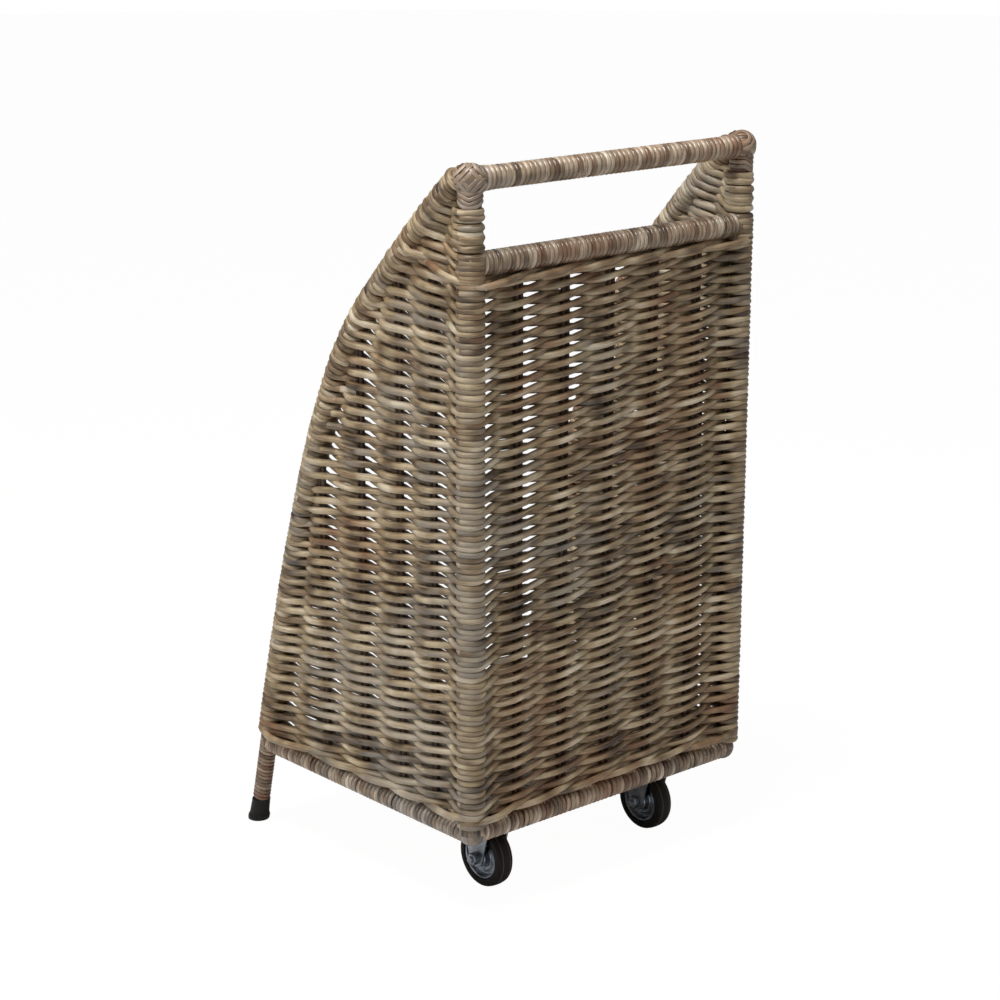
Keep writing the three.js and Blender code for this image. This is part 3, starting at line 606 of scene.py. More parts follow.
@dataclass
class Weaving:
    """The walls' weave: pairs of rods twined round stakes, posts and bent poles, row over row."""

    layout: CartLayout
    rod: float = 3.85
    first_row: float = 135.6
    last_row: float = 718.5
    low_pitch: float = 13.3
    low_end: float = 210.0
    pitch: float = 12.35
    upper_rows: tuple[float, ...] = (730.0, 740.6, 751.2, 761.8, 772.4, 783.0, 793.4)
    wales: tuple[float, ...] = (124.5, 724.0)
    fan_start: float = 450.0
    fan_end: float = 770.0
    fan_slope: float = 0.36
    swing: float = 3.1
    inner_corner: float = 8.4
    rail_rings: tuple[float, ...] = (731.0, 736.4, 741.8, 747.2, 752.6)
    band_start: float = 761.0
    band_pitch: float = 7.75
    bands: int = 6
    seed: int = 41

    def __post_init__(self) -> None:
        """Works out the rows' heights and the distances at which a rod passes what it is woven round."""
        self.chance = random.Random(self.seed)
        self.round_post = self.layout.post_radius + self.rod
        self.round_arch = self.layout.arch_radius + self.rod - 0.2
        self.round_stake = self.layout.stake_radius + self.rod - 0.3
        self.heights = [self.first_row]
        while self.heights[-1] < self.last_row - self.pitch / 2:
            self.heights.append(self.heights[-1] + (self.low_pitch if self.heights[-1] < self.low_end else self.pitch))

    def vary(self, most: float) -> float:
        """Returns a random number between minus and plus the most."""
        return self.chance.uniform(-most, most)

    def fan(self, height: float) -> float:
        """Returns how much a row climbs towards the front: upper rows fan out to meet the bent pole squarely."""
        return self.fan_slope * min(1.0, max(0.0, (height - self.fan_start) / (self.fan_end - self.fan_start)))

    def turn_length(self, height: float) -> float:
        """Finds where a row goes round the bent pole.

        Args:
            height: The row's height at the rear post.

        Returns:
            The distance along the pole's axis.
        """
        slope = self.fan(height)
        at, normal = self.layout.arch_at(self.layout.arch_length_at(height, slope))
        return self.layout.arch_length_at(at[1] + 10 * (normal[1] - slope))

    def side_stations(self, height: float) -> tuple[Array, Array, Array]:
        """Lists what a row passes on a side wall.

        Args:
            height: The row's height.

        Returns:
            Distances from the post, weave coordinates (a whole number at each stake) and rod depths there; the
            last entry lies just short of the bent pole.
        """
        reach = self.layout.arch_reach(height, self.fan(height))
        stakes = [0.0, *(s for s in self.layout.side_stakes if s < reach - 20)]
        stop = max(reach - 16, stakes[-1] + 0.45 * (reach - stakes[-1]))
        share = (stop - stakes[-1]) / (reach - stakes[-1])
        depths = [self.round_post] + [self.round_stake] * (len(stakes) - 1)
        last = depths[-1] + (self.round_arch - depths[-1]) * share
        weave = [*range(len(stakes)), len(stakes) - 1 + share]
        return np.array([*stakes, stop]), np.array(weave), np.array([*depths, last])

    def back_stations(self, inside: bool) -> tuple[Array, Array, Array]:
        """Lists what a row passes on the back wall.

        Args:
            inside: Whether the rod passes inside the posts, and turns short of their axes.

        Returns:
            Distances, weave coordinates and rod depths, as side_stations gives them.
        """
        along, bulge = np.arange(7) * self.layout.back_gap, np.full(7, self.round_stake)
        bulge[[0, -1]] = self.round_post
        if inside:
            bulge[[0, -1]] = along[0] = self.inner_corner
            along[-1] -= self.inner_corner
        return along, np.arange(7.0), bulge

    def run(
        self, stations: tuple[Array, Array, Array], height: float, depth: Callable, rise: Callable, slope: float = 0.0
    ) -> Array:
        """Lays one rod along a wall.

        Args:
            stations: Distances, weave coordinates and depths, as side_stations gives them.
            height: The row's height.
            depth: Share of the full depth at a weave coordinate.
            rise: Millimetres above the row's height at a weave coordinate.
            slope: The row's climb for each millimetre along the wall.

        Returns:
            Rows of distance, depth and height.
        """
        along, weave, bulge = stations
        parts = []
        for k in range(len(along) - 1):
            count = max(3, math.ceil(abs(along[k + 1] - along[k]) / STRAND_STEP))
            t = np.linspace(0, 1, count + 1)[: None if k == len(along) - 2 else -1]
            ease = t * t * (3 - 2 * t)
            v = weave[k] + (weave[k + 1] - weave[k]) * t
            d = (bulge[k] + (bulge[k + 1] - bulge[k]) * ease) * depth(v)
            at = along[k] + (along[k + 1] - along[k]) * t
            parts.append(rows(at, d, height + slope * at + rise(v)))
        return np.vstack(parts)

    def wall_runs(self, height: float, depth: Callable, rise: Callable, inside: bool) -> dict[Wall, Array]:
        """Lays one rod along all three walls, with the weave counted through from wall to wall.

        Args:
            height: The row's height.
            depth: Share of the full depth at a weave coordinate.
            rise: Millimetres above the row's height at a weave coordinate.
            inside: Whether the rod passes inside the posts.

        Returns:
            The rod's points on each wall.
        """
        along, weave, bulge = self.side_stations(height)
        if inside:
            along[0] = bulge[0] = self.inner_corner
        slope = self.fan(height)
        return {
            Wall.RIGHT: self.run((along, -weave, bulge), height, depth, rise, slope),
            Wall.BACK: self.run(self.back_stations(inside), height, depth, rise),
            Wall.LEFT: self.run((along, weave + 6, bulge), height, depth, rise, slope),
        }

    def arch_turn(self, height: float, outside: bool, arriving: Array, leaving: Array | None) -> Array:
        """Takes a rod round the front of a bent pole.

        Args:
            height: The row's height.
            outside: Whether it arrives on the outer side.
            arriving: The last point before the pole.
            leaving: The first point after it, or None where the rod ends there.

        Returns:
            The points in between, as rows of distance, depth and height.
        """
        slope = self.fan(height)
        centre, normal = self.layout.arch_at(self.turn_length(height))
        angles = np.linspace(0, math.pi, 12) if outside else np.linspace(math.pi, 0, 12)
        turn = self.round_arch * np.sin(angles)
        ring = rows(centre[0] + turn * normal[0], self.round_arch * np.cos(angles), centre[1] + turn * normal[1])
        front, level = np.array([normal[0], 0, normal[1]]), np.array([1.0, 0, slope]) / math.hypot(1, slope)
        parts = [bridge(arriving, level, ring[0], front), ring]
        if leaving is not None:
            parts.append(bridge(ring[-1], -front, leaving, -level))
        return np.vstack(parts)

    def full_row(self, height: float, tone: float) -> Strand:
        """Twines both rods of a row round all three walls, as one closed loop.

        Args:
            height: The row's height.
            tone: How pale the row is.

        Returns:
            The row.
        """
        swing, put = self.swing * self.chance.uniform(0.88, 1.1), self.layout.place
        outer, inner = (
            self.wall_runs(
                height, lambda v: sign * np.cos(math.pi * v), lambda v: sign * swing * np.sin(math.pi * v), sign < 0
            )
            for sign in (1, -1)
        )
        ends = {}
        for wall in SIDES:
            first, last = outer[wall][-1], inner[wall][-1]
            ends[wall] = self.arch_turn(height, first[1] > last[1], first, last)
        loop = np.vstack([
            put(Wall.RIGHT, outer[Wall.RIGHT][::-1]),
            self.post_corner(height, 1),
            put(Wall.BACK, outer[Wall.BACK]),
            self.post_corner(height, -1),
            put(Wall.LEFT, outer[Wall.LEFT]),
            put(Wall.LEFT, ends[Wall.LEFT]),
            put(Wall.LEFT, inner[Wall.LEFT][::-1]),
            put(Wall.BACK, inner[Wall.BACK][::-1]),
            put(Wall.RIGHT, inner[Wall.RIGHT]),
            put(Wall.RIGHT, ends[Wall.RIGHT][::-1]),
        ])
        return self.rod_along(loop, tone, True, height)

    def post_corner(self, height: float, hand: int) -> Array:
        """Rounds the outside of a rear post.

        Args:
            height: The row's height.
            hand: 1 for the right post, passed from side to back, and -1 for the left, from back to side.

        Returns:
            Points in the shared frame.
        """
        angles = np.linspace(self.layout.splay, math.pi / 2, 9)[1:-1][::hand]
        x = self.layout.post_x + self.round_post * np.cos(angles)
        return rows(hand * x, self.layout.post_y + self.round_post * np.sin(angles), height)

    def side_row(self, height: float, wall: Wall, tone: float) -> Strand:
        """Twines a row on a side wall alone, round post and bent pole.

        Args:
            height: The row's height.
            wall: The side wall.
            tone: How pale the row is.

        Returns:
            The row.
        """
        stations, swing, slope = self.side_stations(height), -wall.value * self.swing, self.fan(height)
        outer, inner = (
            self.run(
                stations, height, lambda v: s * np.cos(math.pi * v), lambda v: s * swing * np.sin(math.pi * v), slope
            )
            for s in (1, -1)
        )
        front = self.arch_turn(height, outer[-1, 1] > inner[-1, 1], outer[-1], inner[-1])
        angles = np.linspace(math.pi, 0, 12)[1:-1]
        rear = rows(-self.round_post * np.sin(angles), self.round_post * np.cos(angles), height)
        loop = self.layout.place(wall, np.vstack([outer, front, inner[::-1], rear]))
        return self.rod_along(loop, tone, True, height)

    def wale(self, height: float, third: int, tone: float) -> Strand:
        """Lays one of three waling rods round all walls: outside two stakes, inside the next.

        Args:
            height: The wale's height.
            third: Which of the three rods.
            tone: How pale it is.

        Returns:
            The rod.
        """
        put, turn = self.layout.place, 2 * math.pi / 3
        depth = lambda v: (1.97 + 7.87 * np.cos(turn * (v + 0.5 + third))) / 5.9
        rise = lambda v: 3.0 * np.sin(turn * (v + 0.5 + third))
        inside = float(depth(np.array(0.0))) < 0
        runs = self.wall_runs(height, depth, rise, inside)
        corners, ends = [np.empty((0, 3))] * 2, {}
        if not inside:
            corners = [self.post_corner(height, h) + rise(np.array(v)) * UP for h, v in ((1, 0.0), (-1, 6.0))]
        for wall in SIDES:
            last = runs[wall][-1]
            ends[wall] = self.arch_turn(height, True, last, None) if last[1] > 0 else np.empty((0, 3))
        right = put(Wall.RIGHT, np.vstack([runs[Wall.RIGHT], ends[Wall.RIGHT]])[::-1])
        left = put(Wall.LEFT, np.vstack([runs[Wall.LEFT], ends[Wall.LEFT]]))
        line = np.vstack([right, corners[0], put(Wall.BACK, runs[Wall.BACK]), corners[1], left])
        return self.rod_along(line, tone, False)

    def rod_along(self, line: Array, tone: float, closed: bool, height: float = 0.0) -> Strand:
        """Eases a line and gives it a rod's slight unevenness.

        Args:
            line: Points in the shared frame.
            tone: How pale the rod is.
            closed: Whether its ends meet.
            height: The row's height; stouter rods were used where the upper rows fan out.

        Returns:
            The rod.
        """
        for _ in range(2):
            eased = 0.25 * np.roll(line, 1, 0) + 0.5 * line + 0.25 * np.roll(line, -1, 0)
            line = eased if closed else np.vstack([line[:1], eased[1:-1], line[-1:]])
        count = len(line)
        turns, wobble = full_turn(count), np.zeros(count)
        thick = np.full(count, self.chance.uniform(0.94, 1.05))
        for waves in (3, 7, 13, 23):
            wobble += self.vary(0.3) * np.sin(waves * turns + self.chance.uniform(0, 6.3))
            thick += self.vary(0.025) * np.sin(waves * turns + self.chance.uniform(0, 6.3))
        on_side = np.clip((self.layout.post_y - 14 - line[:, 1]) / 30, 0, 1)
        thick *= 1 + (0.1 + 0.7 * self.fan(height)) * on_side
        return Strand(line + wobble[:, None] * UP, self.rod * thick, tone, closed)

    def row_tones(self) -> list[float]:
        """Returns a paleness for each row: neighbours come from one batch, so they are alike."""
        tones, level = [], 0.5
        for _ in self.heights:
            level = 0.66 * level + 0.34 * 0.5 + self.vary(0.14)
            tones.append(level)
        return tones

    def post_rings(self, tones: Sequence[float]) -> list[Strand]:
        """Binds the rear posts between the rows, up to the back rail.

        Args:
            tones: The rows' paleness.

        Returns:
            Closed rings.
        """
        between = [0.5 * (a + b) for a, b in zip(self.heights, self.heights[1:])]
        heights = [self.first_row - 18.6, self.first_row - 6.6, *between, self.heights[-1] + 6.3, *self.rail_rings]
        rings, turn, layout = [], full_turn(20), self.layout
        for wall in SIDES:
            for k, height in enumerate(heights):
                tilt = self.vary(0.5)
                radius = self.round_post + self.chance.uniform(-0.25, 0.3)
                centre = np.array([wall.value * layout.post_x, layout.post_y, height])
                lay = centre + rows(radius * np.cos(turn), radius * np.sin(turn), tilt * np.cos(turn + k))
                stout = self.rod * self.chance.uniform(0.95, 1.03)
                # the rings are drawn 0.1 darker than their rows: painted shade for the dimmer light on the posts
                rings.append(Strand(lay, stout, tones[min(k, len(tones) - 1)] - 0.1 + self.vary(0.08), True))
        return rings

    def top_bands(self) -> list[Strand]:
        """Returns the broad bands over the posts above the back rail, and over the ends of the side walls' rods."""
        bands, turn = [], full_turn(28)
        for wall in SIDES:
            for k in range(self.bands):
                height = self.band_start + self.band_pitch * k
                deep, long = (12.6, 15.6) if k < self.bands - 1 else (13.2, 16.4)
                ring = rows(3.4 + long * np.sin(turn), deep * np.cos(turn), height + 0.25 * np.sin(turn + k))
                points = self.layout.place(wall, ring)
                normals = self.layout.place(wall, ring + rows(np.sin(turn), np.cos(turn), 0.0)) - points
                bands.append(Strand(points, 3.5, 0.6 + self.vary(0.08), True, normals, 0.72))
        return bands

    def arch_rings(self, tones: Sequence[float]) -> list[Strand]:
        """Binds the bent poles between the rows, once or twice according to the room.

        Args:
            tones: The rows' paleness.

        Returns:
            Closed rings.
        """
        layout = self.layout
        places = [self.turn_length(height) for height in (121.5, *self.heights, *self.upper_rows)] + [20.0]
        rings, turn = [], full_turn(20)
        for j, (low, high) in enumerate(zip(places, places[1:])):
            count = max(1, round((low - high) / 6.6) - 1)
            for i in range(count):
                centre, normal = layout.arch_at(low + (high - low) * (i + 1) / (count + 1))
                for wall in SIDES:
                    radius = self.round_arch + self.vary(0.25)
                    out = radius * np.sin(turn)
                    ring = rows(centre[0] + out * normal[0], radius * np.cos(turn), centre[1] + out * normal[1])
                    tone = tones[min(j, len(tones) - 1)] + self.vary(0.08)
                    stout = self.rod * self.chance.uniform(0.95, 1.03)
                    rings.append(Strand(layout.place(wall, ring), stout, tone, True))
        return rings

    def build(self, finishes: Finishes) -> None:
        """Makes the woven pieces.

        Args:
            finishes: The cart's materials.
        """
        tones = self.row_tones()
        third = math.ceil(len(tones) / 3)
        for part, name in enumerate(("low", "middle", "high")):
            bundle = StrandBundle(f"weave_{name}")
            for j in range(part * third, min(len(tones), (part + 1) * third)):
                bundle.strands.append(self.full_row(self.heights[j] + self.vary(0.5), tones[j]))
            bundle.make(finishes.woven, ("back_weave", "right_side_weave", "left_side_weave"))
        bundle = StrandBundle("weave_edges")
        for height in self.upper_rows:
            bundle.strands += [self.side_row(height, wall, tones[-1] + self.vary(0.1)) for wall in SIDES]
        bundle.strands += [self.wale(height, k, 0.55 + self.vary(0.08)) for height in self.wales for k in range(3)]
        bundle.make(finishes.woven)
        StrandBundle("post_bands", self.post_rings(tones) + self.top_bands()).make(finishes.woven)
        StrandBundle("bent_pole_bands", self.arch_rings(tones)).make(finishes.woven)


def bridge(start: Array, leave: Array, end: Array, arrive: Array, count: int = 5) -> Array:
    """Joins two points on a smooth curve.

    Args:
        start: The first point.
        leave: Unit direction there.
        end: The last point.
        arrive: Unit direction there.
        count: Points between them.

    Returns:
        The points between them, without the two.
    """
    t = np.linspace(0, 1, count + 2)[1:-1, None]
    pull = np.linalg.norm(end - start)
    ends = (2 * t**3 - 3 * t**2 + 1) * start + (3 * t**2 - 2 * t**3) * end
    return ends + (t**3 - 2 * t**2 + t) * pull * leave + (t**3 - t**2) * pull * arrive


@dataclass
class Stakes:
    """Pairs of upright rods in every wall, and the rattan of bent poles and rear posts."""

    layout: CartLayout
    rod: float = 2.8
    half_gap: float = 3.0
    foot: float = 101.0
    post_ends: tuple[float, float] = (97.5, 826.0)
    seed: int = 23

    def rods(self, wall: Wall, along: float, top: float, chance: random.Random) -> list[Strand]:
        """Stands a pair of rods.

        Args:
            wall: The wall that they are in.
            along: Their distance from the wall's post.
            top: The height of their tops.
            chance: Source of their unevenness.

        Returns:
            The two rods.
        """
        heights = np.linspace(self.foot, top, max(3, int((top - 100) / 45)))
        pair = []
        for side in (-1, 1):
            wander = np.array([chance.uniform(-0.25, 0.25) for _ in heights])
            line = rows(along + side * self.half_gap + wander, wander[::-1] * 0.8, heights)
            # the low tones are painted shade: the rods are drawn darker than their brown, for the weave's shadow over
            # them
            pair.append(Strand(self.layout.place(wall, line), self.rod, chance.uniform(0.12, 0.3)))
        return pair

    def build(self, finishes: Finishes) -> None:
        """Makes stakes, bent poles and rear posts.

        Args:
            finishes: The cart's materials.
        """
        layout, chance, stake = self.layout, random.Random(self.seed), finishes.stake
        back = StrandBundle("back_stakes")
        for k in range(1, 6):
            back.strands += self.rods(Wall.BACK, k * layout.back_gap, layout.rail_height - 8, chance)
        back.make(stake, [f"back_stakes_{k}" for k in range(1, 6)])
        axis = np.array(layout.arch_axis)
        for wall in SIDES:
            side = StrandBundle(f"{wall.side}_stakes")
            for reach in layout.side_stakes:
                side.strands += self.rods(wall, reach, float(np.interp(reach, axis[:, 0], axis[:, 1])) - 4, chance)
            side.make(stake, [f"{wall.side}_side_stakes_{k}" for k in range(1, 5)])
            bent = Strand(layout.arch_line(wall, np.linspace(9.0, 942.0, 120)), layout.arch_radius, 0.4)
            StrandBundle(f"{wall.side}_bent_pole", [bent]).make(stake, [f"{wall.side}_arch_pole"])
            line = rows(wall.value * layout.post_x, layout.post_y, np.linspace(*self.post_ends, 30))
            post = Strand(line, layout.post_radius, 0.35)
            StrandBundle(f"{wall.side}_post", [post]).make(stake, [f"{wall.side}_rear_post"])


# ---------------------------------------------------------------- windings


@dataclass
class WoundPole:
    """Flat cane wound round a pole, turn against turn.

    At a notch a turn steps aside past a stake and leaves a wedge of the pole bare.
    """

    name: str
    line: Array
    outer: float
    thickness: float
    pitch: float
    tone: float = 0.5
    swell: Callable[[Array], Array] | None = None
    notches: tuple[float, ...] = ()
    notch: float = 2.4
    steps: int = 20

    def strand(self) -> Strand:
        """Returns the winding as one strip."""
        runs = lengths_along(self.line)
        turns = (runs[-1] - self.notch * len(self.notches)) / self.pitch
        u = np.linspace(0, turns, int(turns * self.steps))
        s = self.pitch * u
        for k, place in enumerate(sorted(self.notches)):
            s = s + self.notch * np.clip(u - (place - k * self.notch) / self.pitch, 0, 1)
        centre = np.stack([np.interp(s, runs, self.line[:, i]) for i in range(3)], 1)
        run = np.gradient(centre, axis=0)
        run /= np.linalg.norm(run, axis=1, keepdims=True)
        side = np.cross(run, UP if abs(run[0, 2]) < 0.8 else [1.0, 0.0, 0.0])
        side /= np.linalg.norm(side, axis=1, keepdims=True)
        normal = spun(2 * math.pi * u, side, np.cross(side, run))
        radius = self.outer - self.thickness / 2 + (self.swell(s) if self.swell else np.zeros(len(s)))
        half = self.pitch * 0.505
        points = centre + radius[:, None] * normal
        return Strand(points, half, self.tone, normals=normal, flatness=self.thickness / 2 / half)

    def build(self, finishes: Finishes, *replaced: str) -> Piece:
        """Makes the piece, in place of the CAD nodes named."""
        return StrandBundle(self.name, [self.strand()]).make(finishes.cane, replaced)


@dataclass
class Windings:
    """Every cane winding of the frame."""

    layout: CartLayout
    handle_half: float = 190.0
    rail_half: float = 192.5
    corner: float = 8.0
    base_outer: float = 12.4
    base_thick: float = 4.0
    base_pitch: float = 6.2
    lift: float = 3.0
    dip: float = 1.0
    side_notches: tuple[float, ...] = (273.0, 193.0, 127.0)
    leg_ends: tuple[float, float] = (117.0, 30.0)

    def base_fan(self, hand: int) -> list[Strand]:
        """Winds the turns that fan round a rear corner of the base.

        Args:
            hand: 1 for the right corner, -1 for the left.

        Returns:
            Closed strips.
        """
        layout, turn, fan = self.layout, full_turn(28), []
        height = layout.base_height - self.dip
        middle = np.array([hand * (layout.post_x - self.corner), layout.post_y - self.corner, height])
        for k, angle in enumerate(np.linspace(-0.06, math.pi / 2 + 0.06, 9)):
            out = np.array([hand * math.cos(angle), math.sin(angle), 0.0])
            normal = spun(turn, out, UP)
            bulge = 2.4 * math.sin(2 * max(0.0, min(angle, math.pi / 2)))
            points = middle + self.corner * out + (self.base_outer - self.base_thick / 2 + bulge) * normal
            fan.append(Strand(points, 3.3, 0.3 + 0.05 * math.sin(5 * k), True, normal, 0.6))
        return fan

    def build(self, finishes: Finishes) -> None:
        """Makes the windings.

        Args:
            finishes: The cart's materials.
        """
        layout, base = self.layout, self.layout.base_height
        across = lambda half, y, z: rows(np.array([half, -half]), y, z)
        # the handle thickens towards the posts
        ends = lambda s: np.clip(1 - np.minimum(s, 2 * self.handle_half - s) / 26.0, 0, 1)
        line = across(self.handle_half, layout.post_y, layout.handle_height)
        swell = lambda s: 0.5 + 1.6 * ends(s) ** 2
        WoundPole("handle_cane", line, 12.6, 5.4, 6.7, 0.57, swell).build(finishes, "handle_wrap")
        line = across(self.rail_half, layout.post_y, layout.rail_height)
        WoundPole("back_rail_cane", line, 13.8, 5.0, 6.0, 0.56).build(finishes, "back_rail_wrap")
        reach = layout.arch_reach(base) - 4
        side = np.array([[reach, 0.0, base + self.lift], [self.corner + 1, 0.0, base - self.dip]])
        girth = dict(outer=self.base_outer, thickness=self.base_thick, pitch=self.base_pitch, tone=0.44)
        notches = tuple(reach - r for r in self.side_notches)
        for wall in SIDES:
            pole = WoundPole(f"{wall.side}_base_cane", layout.place(wall, side), notches=notches, **girth)
            pole.build(finishes, f"{wall.side}_base_rail_wrap")
        half = layout.post_x - self.corner - 1
        notches = tuple(half + 66.7 * k for k in range(-2, 3))
        line = across(half, layout.post_y, base - self.dip)
        WoundPole("back_base_cane", line, notches=notches, **girth).build(finishes, "back_base_rail_wrap")
        StrandBundle("base_corner_cane", self.base_fan(1) + self.base_fan(-1)).make(finishes.cane)
        front = layout.place(Wall.RIGHT, np.array([[reach + 4, 0.0, base]]))[0]
        line = across(front[0] - 8, front[1], base)
        WoundPole("front_cane", line, 11.4, 3.8, self.base_pitch, 0.44).build(finishes, "front_base_rail_wrap")
        for wall in SIDES:
            line = layout.arch_line(wall, np.linspace(*(layout.arch_length_at(z) for z in self.leg_ends), 12))
            WoundPole(f"{wall.side}_leg_cane", line, 10.7, 3.2, 5.0, 0.42).build(finishes, f"{wall.side}_leg_wrap")


@dataclass
class CornerBinding:
    """Cane strips criss-crossed over the joint of post, handle and bent pole."""

    layout: CartLayout
    wall: Wall
    knob: float = 16.4
    neck: float = 12.9
    low: float = 803.6
    strip: float = 2.75
    offsets: tuple[float, ...] = (-14.1, -9.5, -4.8, 0.0, 4.8, 9.5, 14.1)
    seed: int = 9

    def build(self, finishes: Finishes) -> None:
        """Makes the bound body and its strips.

        Args:
            finishes: The cart's materials.
        """
        name, hand = self.wall.side, self.wall.value
        centre = np.array([hand * self.layout.post_x, self.layout.post_y, self.layout.handle_height])
        chance = random.Random(self.seed + hand)
        bundle = StrandBundle(f"{name}_binding_strips")
        turn = full_turn(36)
        out = np.array([hand, 1.0, 0.0]) / math.sqrt(2)
        for family, lean in enumerate((1, -1)):
            axis = (lean * np.cross(UP, out) + UP) / math.sqrt(2)
            for k, offset in enumerate(self.offsets):
                normal = offset * axis + math.sqrt(self.knob**2 - offset**2) * spun(turn, np.cross(axis, out), out)
                normal /= np.linalg.norm(normal, axis=1, keepdims=True)
                # each later pair of strips lies over the ends of the one before: nested diamonds, dark in the middle
                layer = 0.5 * abs(k - 3) + 0.25 * family
                tone = 0.5 + chance.uniform(-0.14, 0.16) if k != 3 else 0.2
                points = centre + (self.knob - 0.8 + layer) * normal
                bundle.strands.append(Strand(points, self.strip, tone, True, normal, 0.3))
        normal = rows(np.cos(turn), np.sin(turn), 0.0)
        bend = (turn - math.atan2(out[1], out[0]) + math.pi) % (2 * math.pi) - math.pi
        for k in range(5):  # the neck's strips dip to a V below the crossing
            height = self.low - 2.0 + 5.3 * k + 6.5 * np.minimum(np.sqrt(bend**2 + 0.03), 1.3)
            shown = np.clip(height, self.low + 1.5, self.low + 25)
            ring = centre * [1, 1, 0] + (self.neck + 0.12 * k) * normal + shown[:, None] * UP
            bundle.strands.append(Strand(ring, 2.35, 0.5 + chance.uniform(-0.15, 0.15), True, normal, 0.4))
        bundle.strands.append(self._arch_strip())
        bundle.make(finishes.binding, [f"{name}_corner_binding"])
        corners = (
            (self.low, 8.8, 0), (self.low, self.neck - 0.8, 1.0), (self.low + 16, self.neck - 0.8, 2.0),
            (822.0, 12.6, 2.0), (830.0, self.knob - 1.0, 4.0), (838.0, 13.0, 4.0), (843.0, 9.5, 3.0),
            (845.0, 5.0, 1.5), (845.4, 0.0, 0),
        )
        core = Lathe(f"{name}_binding_core", corners, 32, Axis.Z, (centre[0], centre[1], 0.0))
        core.build(finishes.stake, Slot.WRAP, ())

    def _arch_strip(self) -> Strand:
        """Returns the strip wound round the top of the bent pole."""
        layout = self.layout
        lengths = np.linspace(14.5, 27.0, 60)
        line, around = [], []
        for length, a in zip(lengths, 2 * math.pi * (lengths - lengths[0]) / 5.6):
            at, front = layout.arch_at(length)
            around.append([math.sin(a) * front[0], math.cos(a), math.sin(a) * front[1]])
            line.append([at[0], 0.0, at[1]])
        line = np.array(line) + (layout.arch_radius + 0.9) * np.array(around)
        points = layout.place(self.wall, line)
        return Strand(points, self.strip, 0.5, False, layout.place(self.wall, line + around) - points, 0.34)


@dataclass
class FloorWeave:
    """The floor: flat cane in plain weave."""

    half: float = 200.0
    front: float = -161.0
    rear: float = 188.0
    middle: float = 113.35
    width: float = 5.4
    gap: float = 12.2
    seed: int = 5

    def build(self, finishes: Finishes) -> None:
        """Makes the floor.

        Args:
            finishes: The cart's materials.
        """
        bundle = StrandBundle("floor_cane")
        chance = random.Random(self.seed)
        columns = np.arange(-self.half + 6, self.half - 5, self.gap)
        lines = np.arange(self.front + 6, self.rear - 4, self.gap)
        for along, across, own, crossed in ((0, 1, lines, columns), (1, 0, columns, lines)):
            for i, place in enumerate(own):
                # the sides open outwards towards the front
                wide = self.half + 0.04 * (self.rear - place)
                low, high = (-wide, wide) if along == 0 else (self.front, self.rear)
                count = int((high - low) / self.gap * 4)
                run = np.linspace(low, high, count)
                points = np.zeros((count, 3))
                phase = math.pi * ((run - crossed[0]) / self.gap + i + along)
                points[:, along], points[:, across] = run, place
                points[:, 2] = self.middle + 1.5 * np.cos(phase)
                tone = 0.55 + chance.uniform(-0.15, 0.15)
                bundle.strands.append(Strand(points, self.width, tone, False, np.tile(UP, (count, 1)), 0.24))
        bundle.make(finishes.cane, ["floor_weave"])


# ---------------------------------------------------------------- turned and pressed parts


class Axis(Enum):
    """Axis that a turned part is spun round."""

    X = 0
    Z = 2


@dataclass
class Lathe:
    """A turned part: an outline of corners, rounded and spun.

    Each corner is its place along the axis, its distance from the axis, and the radius that rounds it.
    """

    name: str
    corners: tuple[tuple[float, float, float], ...]
    steps: int = 64
    axis: Axis = Axis.X
    centre: tuple[float, float, float] = (0.0, 0.0, 0.0)
    lean: tuple[float, float] = (0.0, 0.0)
    loop: bool = False

    def mesh(self) -> bpy.types.Mesh:
        """Returns the spun mesh in millimetres."""
        work = bmesh.new()
        spin, side = (Vector((1, 0, 0)), Vector((0, 0, 1)))[:: 1 if self.axis is Axis.X else -1]
        verts = [work.verts.new(spin * along + side * out) for along, out, _ in self.corners]
        for pair in list(zip(verts, verts[1:])) + ([(verts[-1], verts[0])] if self.loop else []):
            work.edges.new(pair)
        for vert, (_, _, soft) in zip(verts, self.corners):
            if soft and len(vert.link_edges) == 2:
                bmesh.ops.bevel(
                    work, geom=[vert], offset=soft, offset_type="OFFSET", affect="VERTICES", segments=4,
                    profile=0.5, material=-1, clamp_overlap=True,
                )
        bmesh.ops.spin(
            work, geom=work.verts[:] + work.edges[:], cent=(0, 0, 0), axis=spin, angle=2 * math.pi,
            steps=self.steps, use_merge=True, use_duplicate=False,
        )
        bmesh.ops.remove_doubles(work, verts=work.verts[:], dist=0.001)
        x, y, z = self.centre
        shear = Matrix(((1, 0, self.lean[0], x), (0, 1, self.lean[1], y), (0, 0, 1, z), (0, 0, 0, 1)))
        bmesh.ops.transform(work, matrix=shear, verts=work.verts[:])
        return released(work, self.name)

    def build(
        self, material: bpy.types.Material, slot: Slot, replaced: Sequence[str], body: str = "cart"
    ) -> Piece:
        """Makes the piece, with the map and tone that strand finishes read.

        Args:
            material: Its finish.
            slot: The record's material slot; not used.
            replaced: CAD nodes that it stands for.
            body: The CAD body that it rides on.

        Returns:
            The piece.
        """
        mesh = self.mesh()
        layer = mesh.uv_layers.new(name="Strand")
        for loop in mesh.loops:
            x, y, z = mesh.vertices[loop.vertex_index].co
            layer.data[loop.index].uv = (z + 0.3 * x, x + y)
        write_tones(mesh, np.full(len(mesh.vertices), 0.3))
        return finish_piece(self.name, mesh, material, replaced, body, split=42)


def released(work: bmesh.types.BMesh, name: str) -> bpy.types.Mesh:
    """Turns finished mesh code into a mesh.

    Args:
        work: The mesh code, which is freed.
        name: The mesh's name.

    Returns:
        The mesh.
    """
    mesh = bpy.data.meshes.new(name)
    work.to_mesh(mesh)
    work.free()
    return mesh


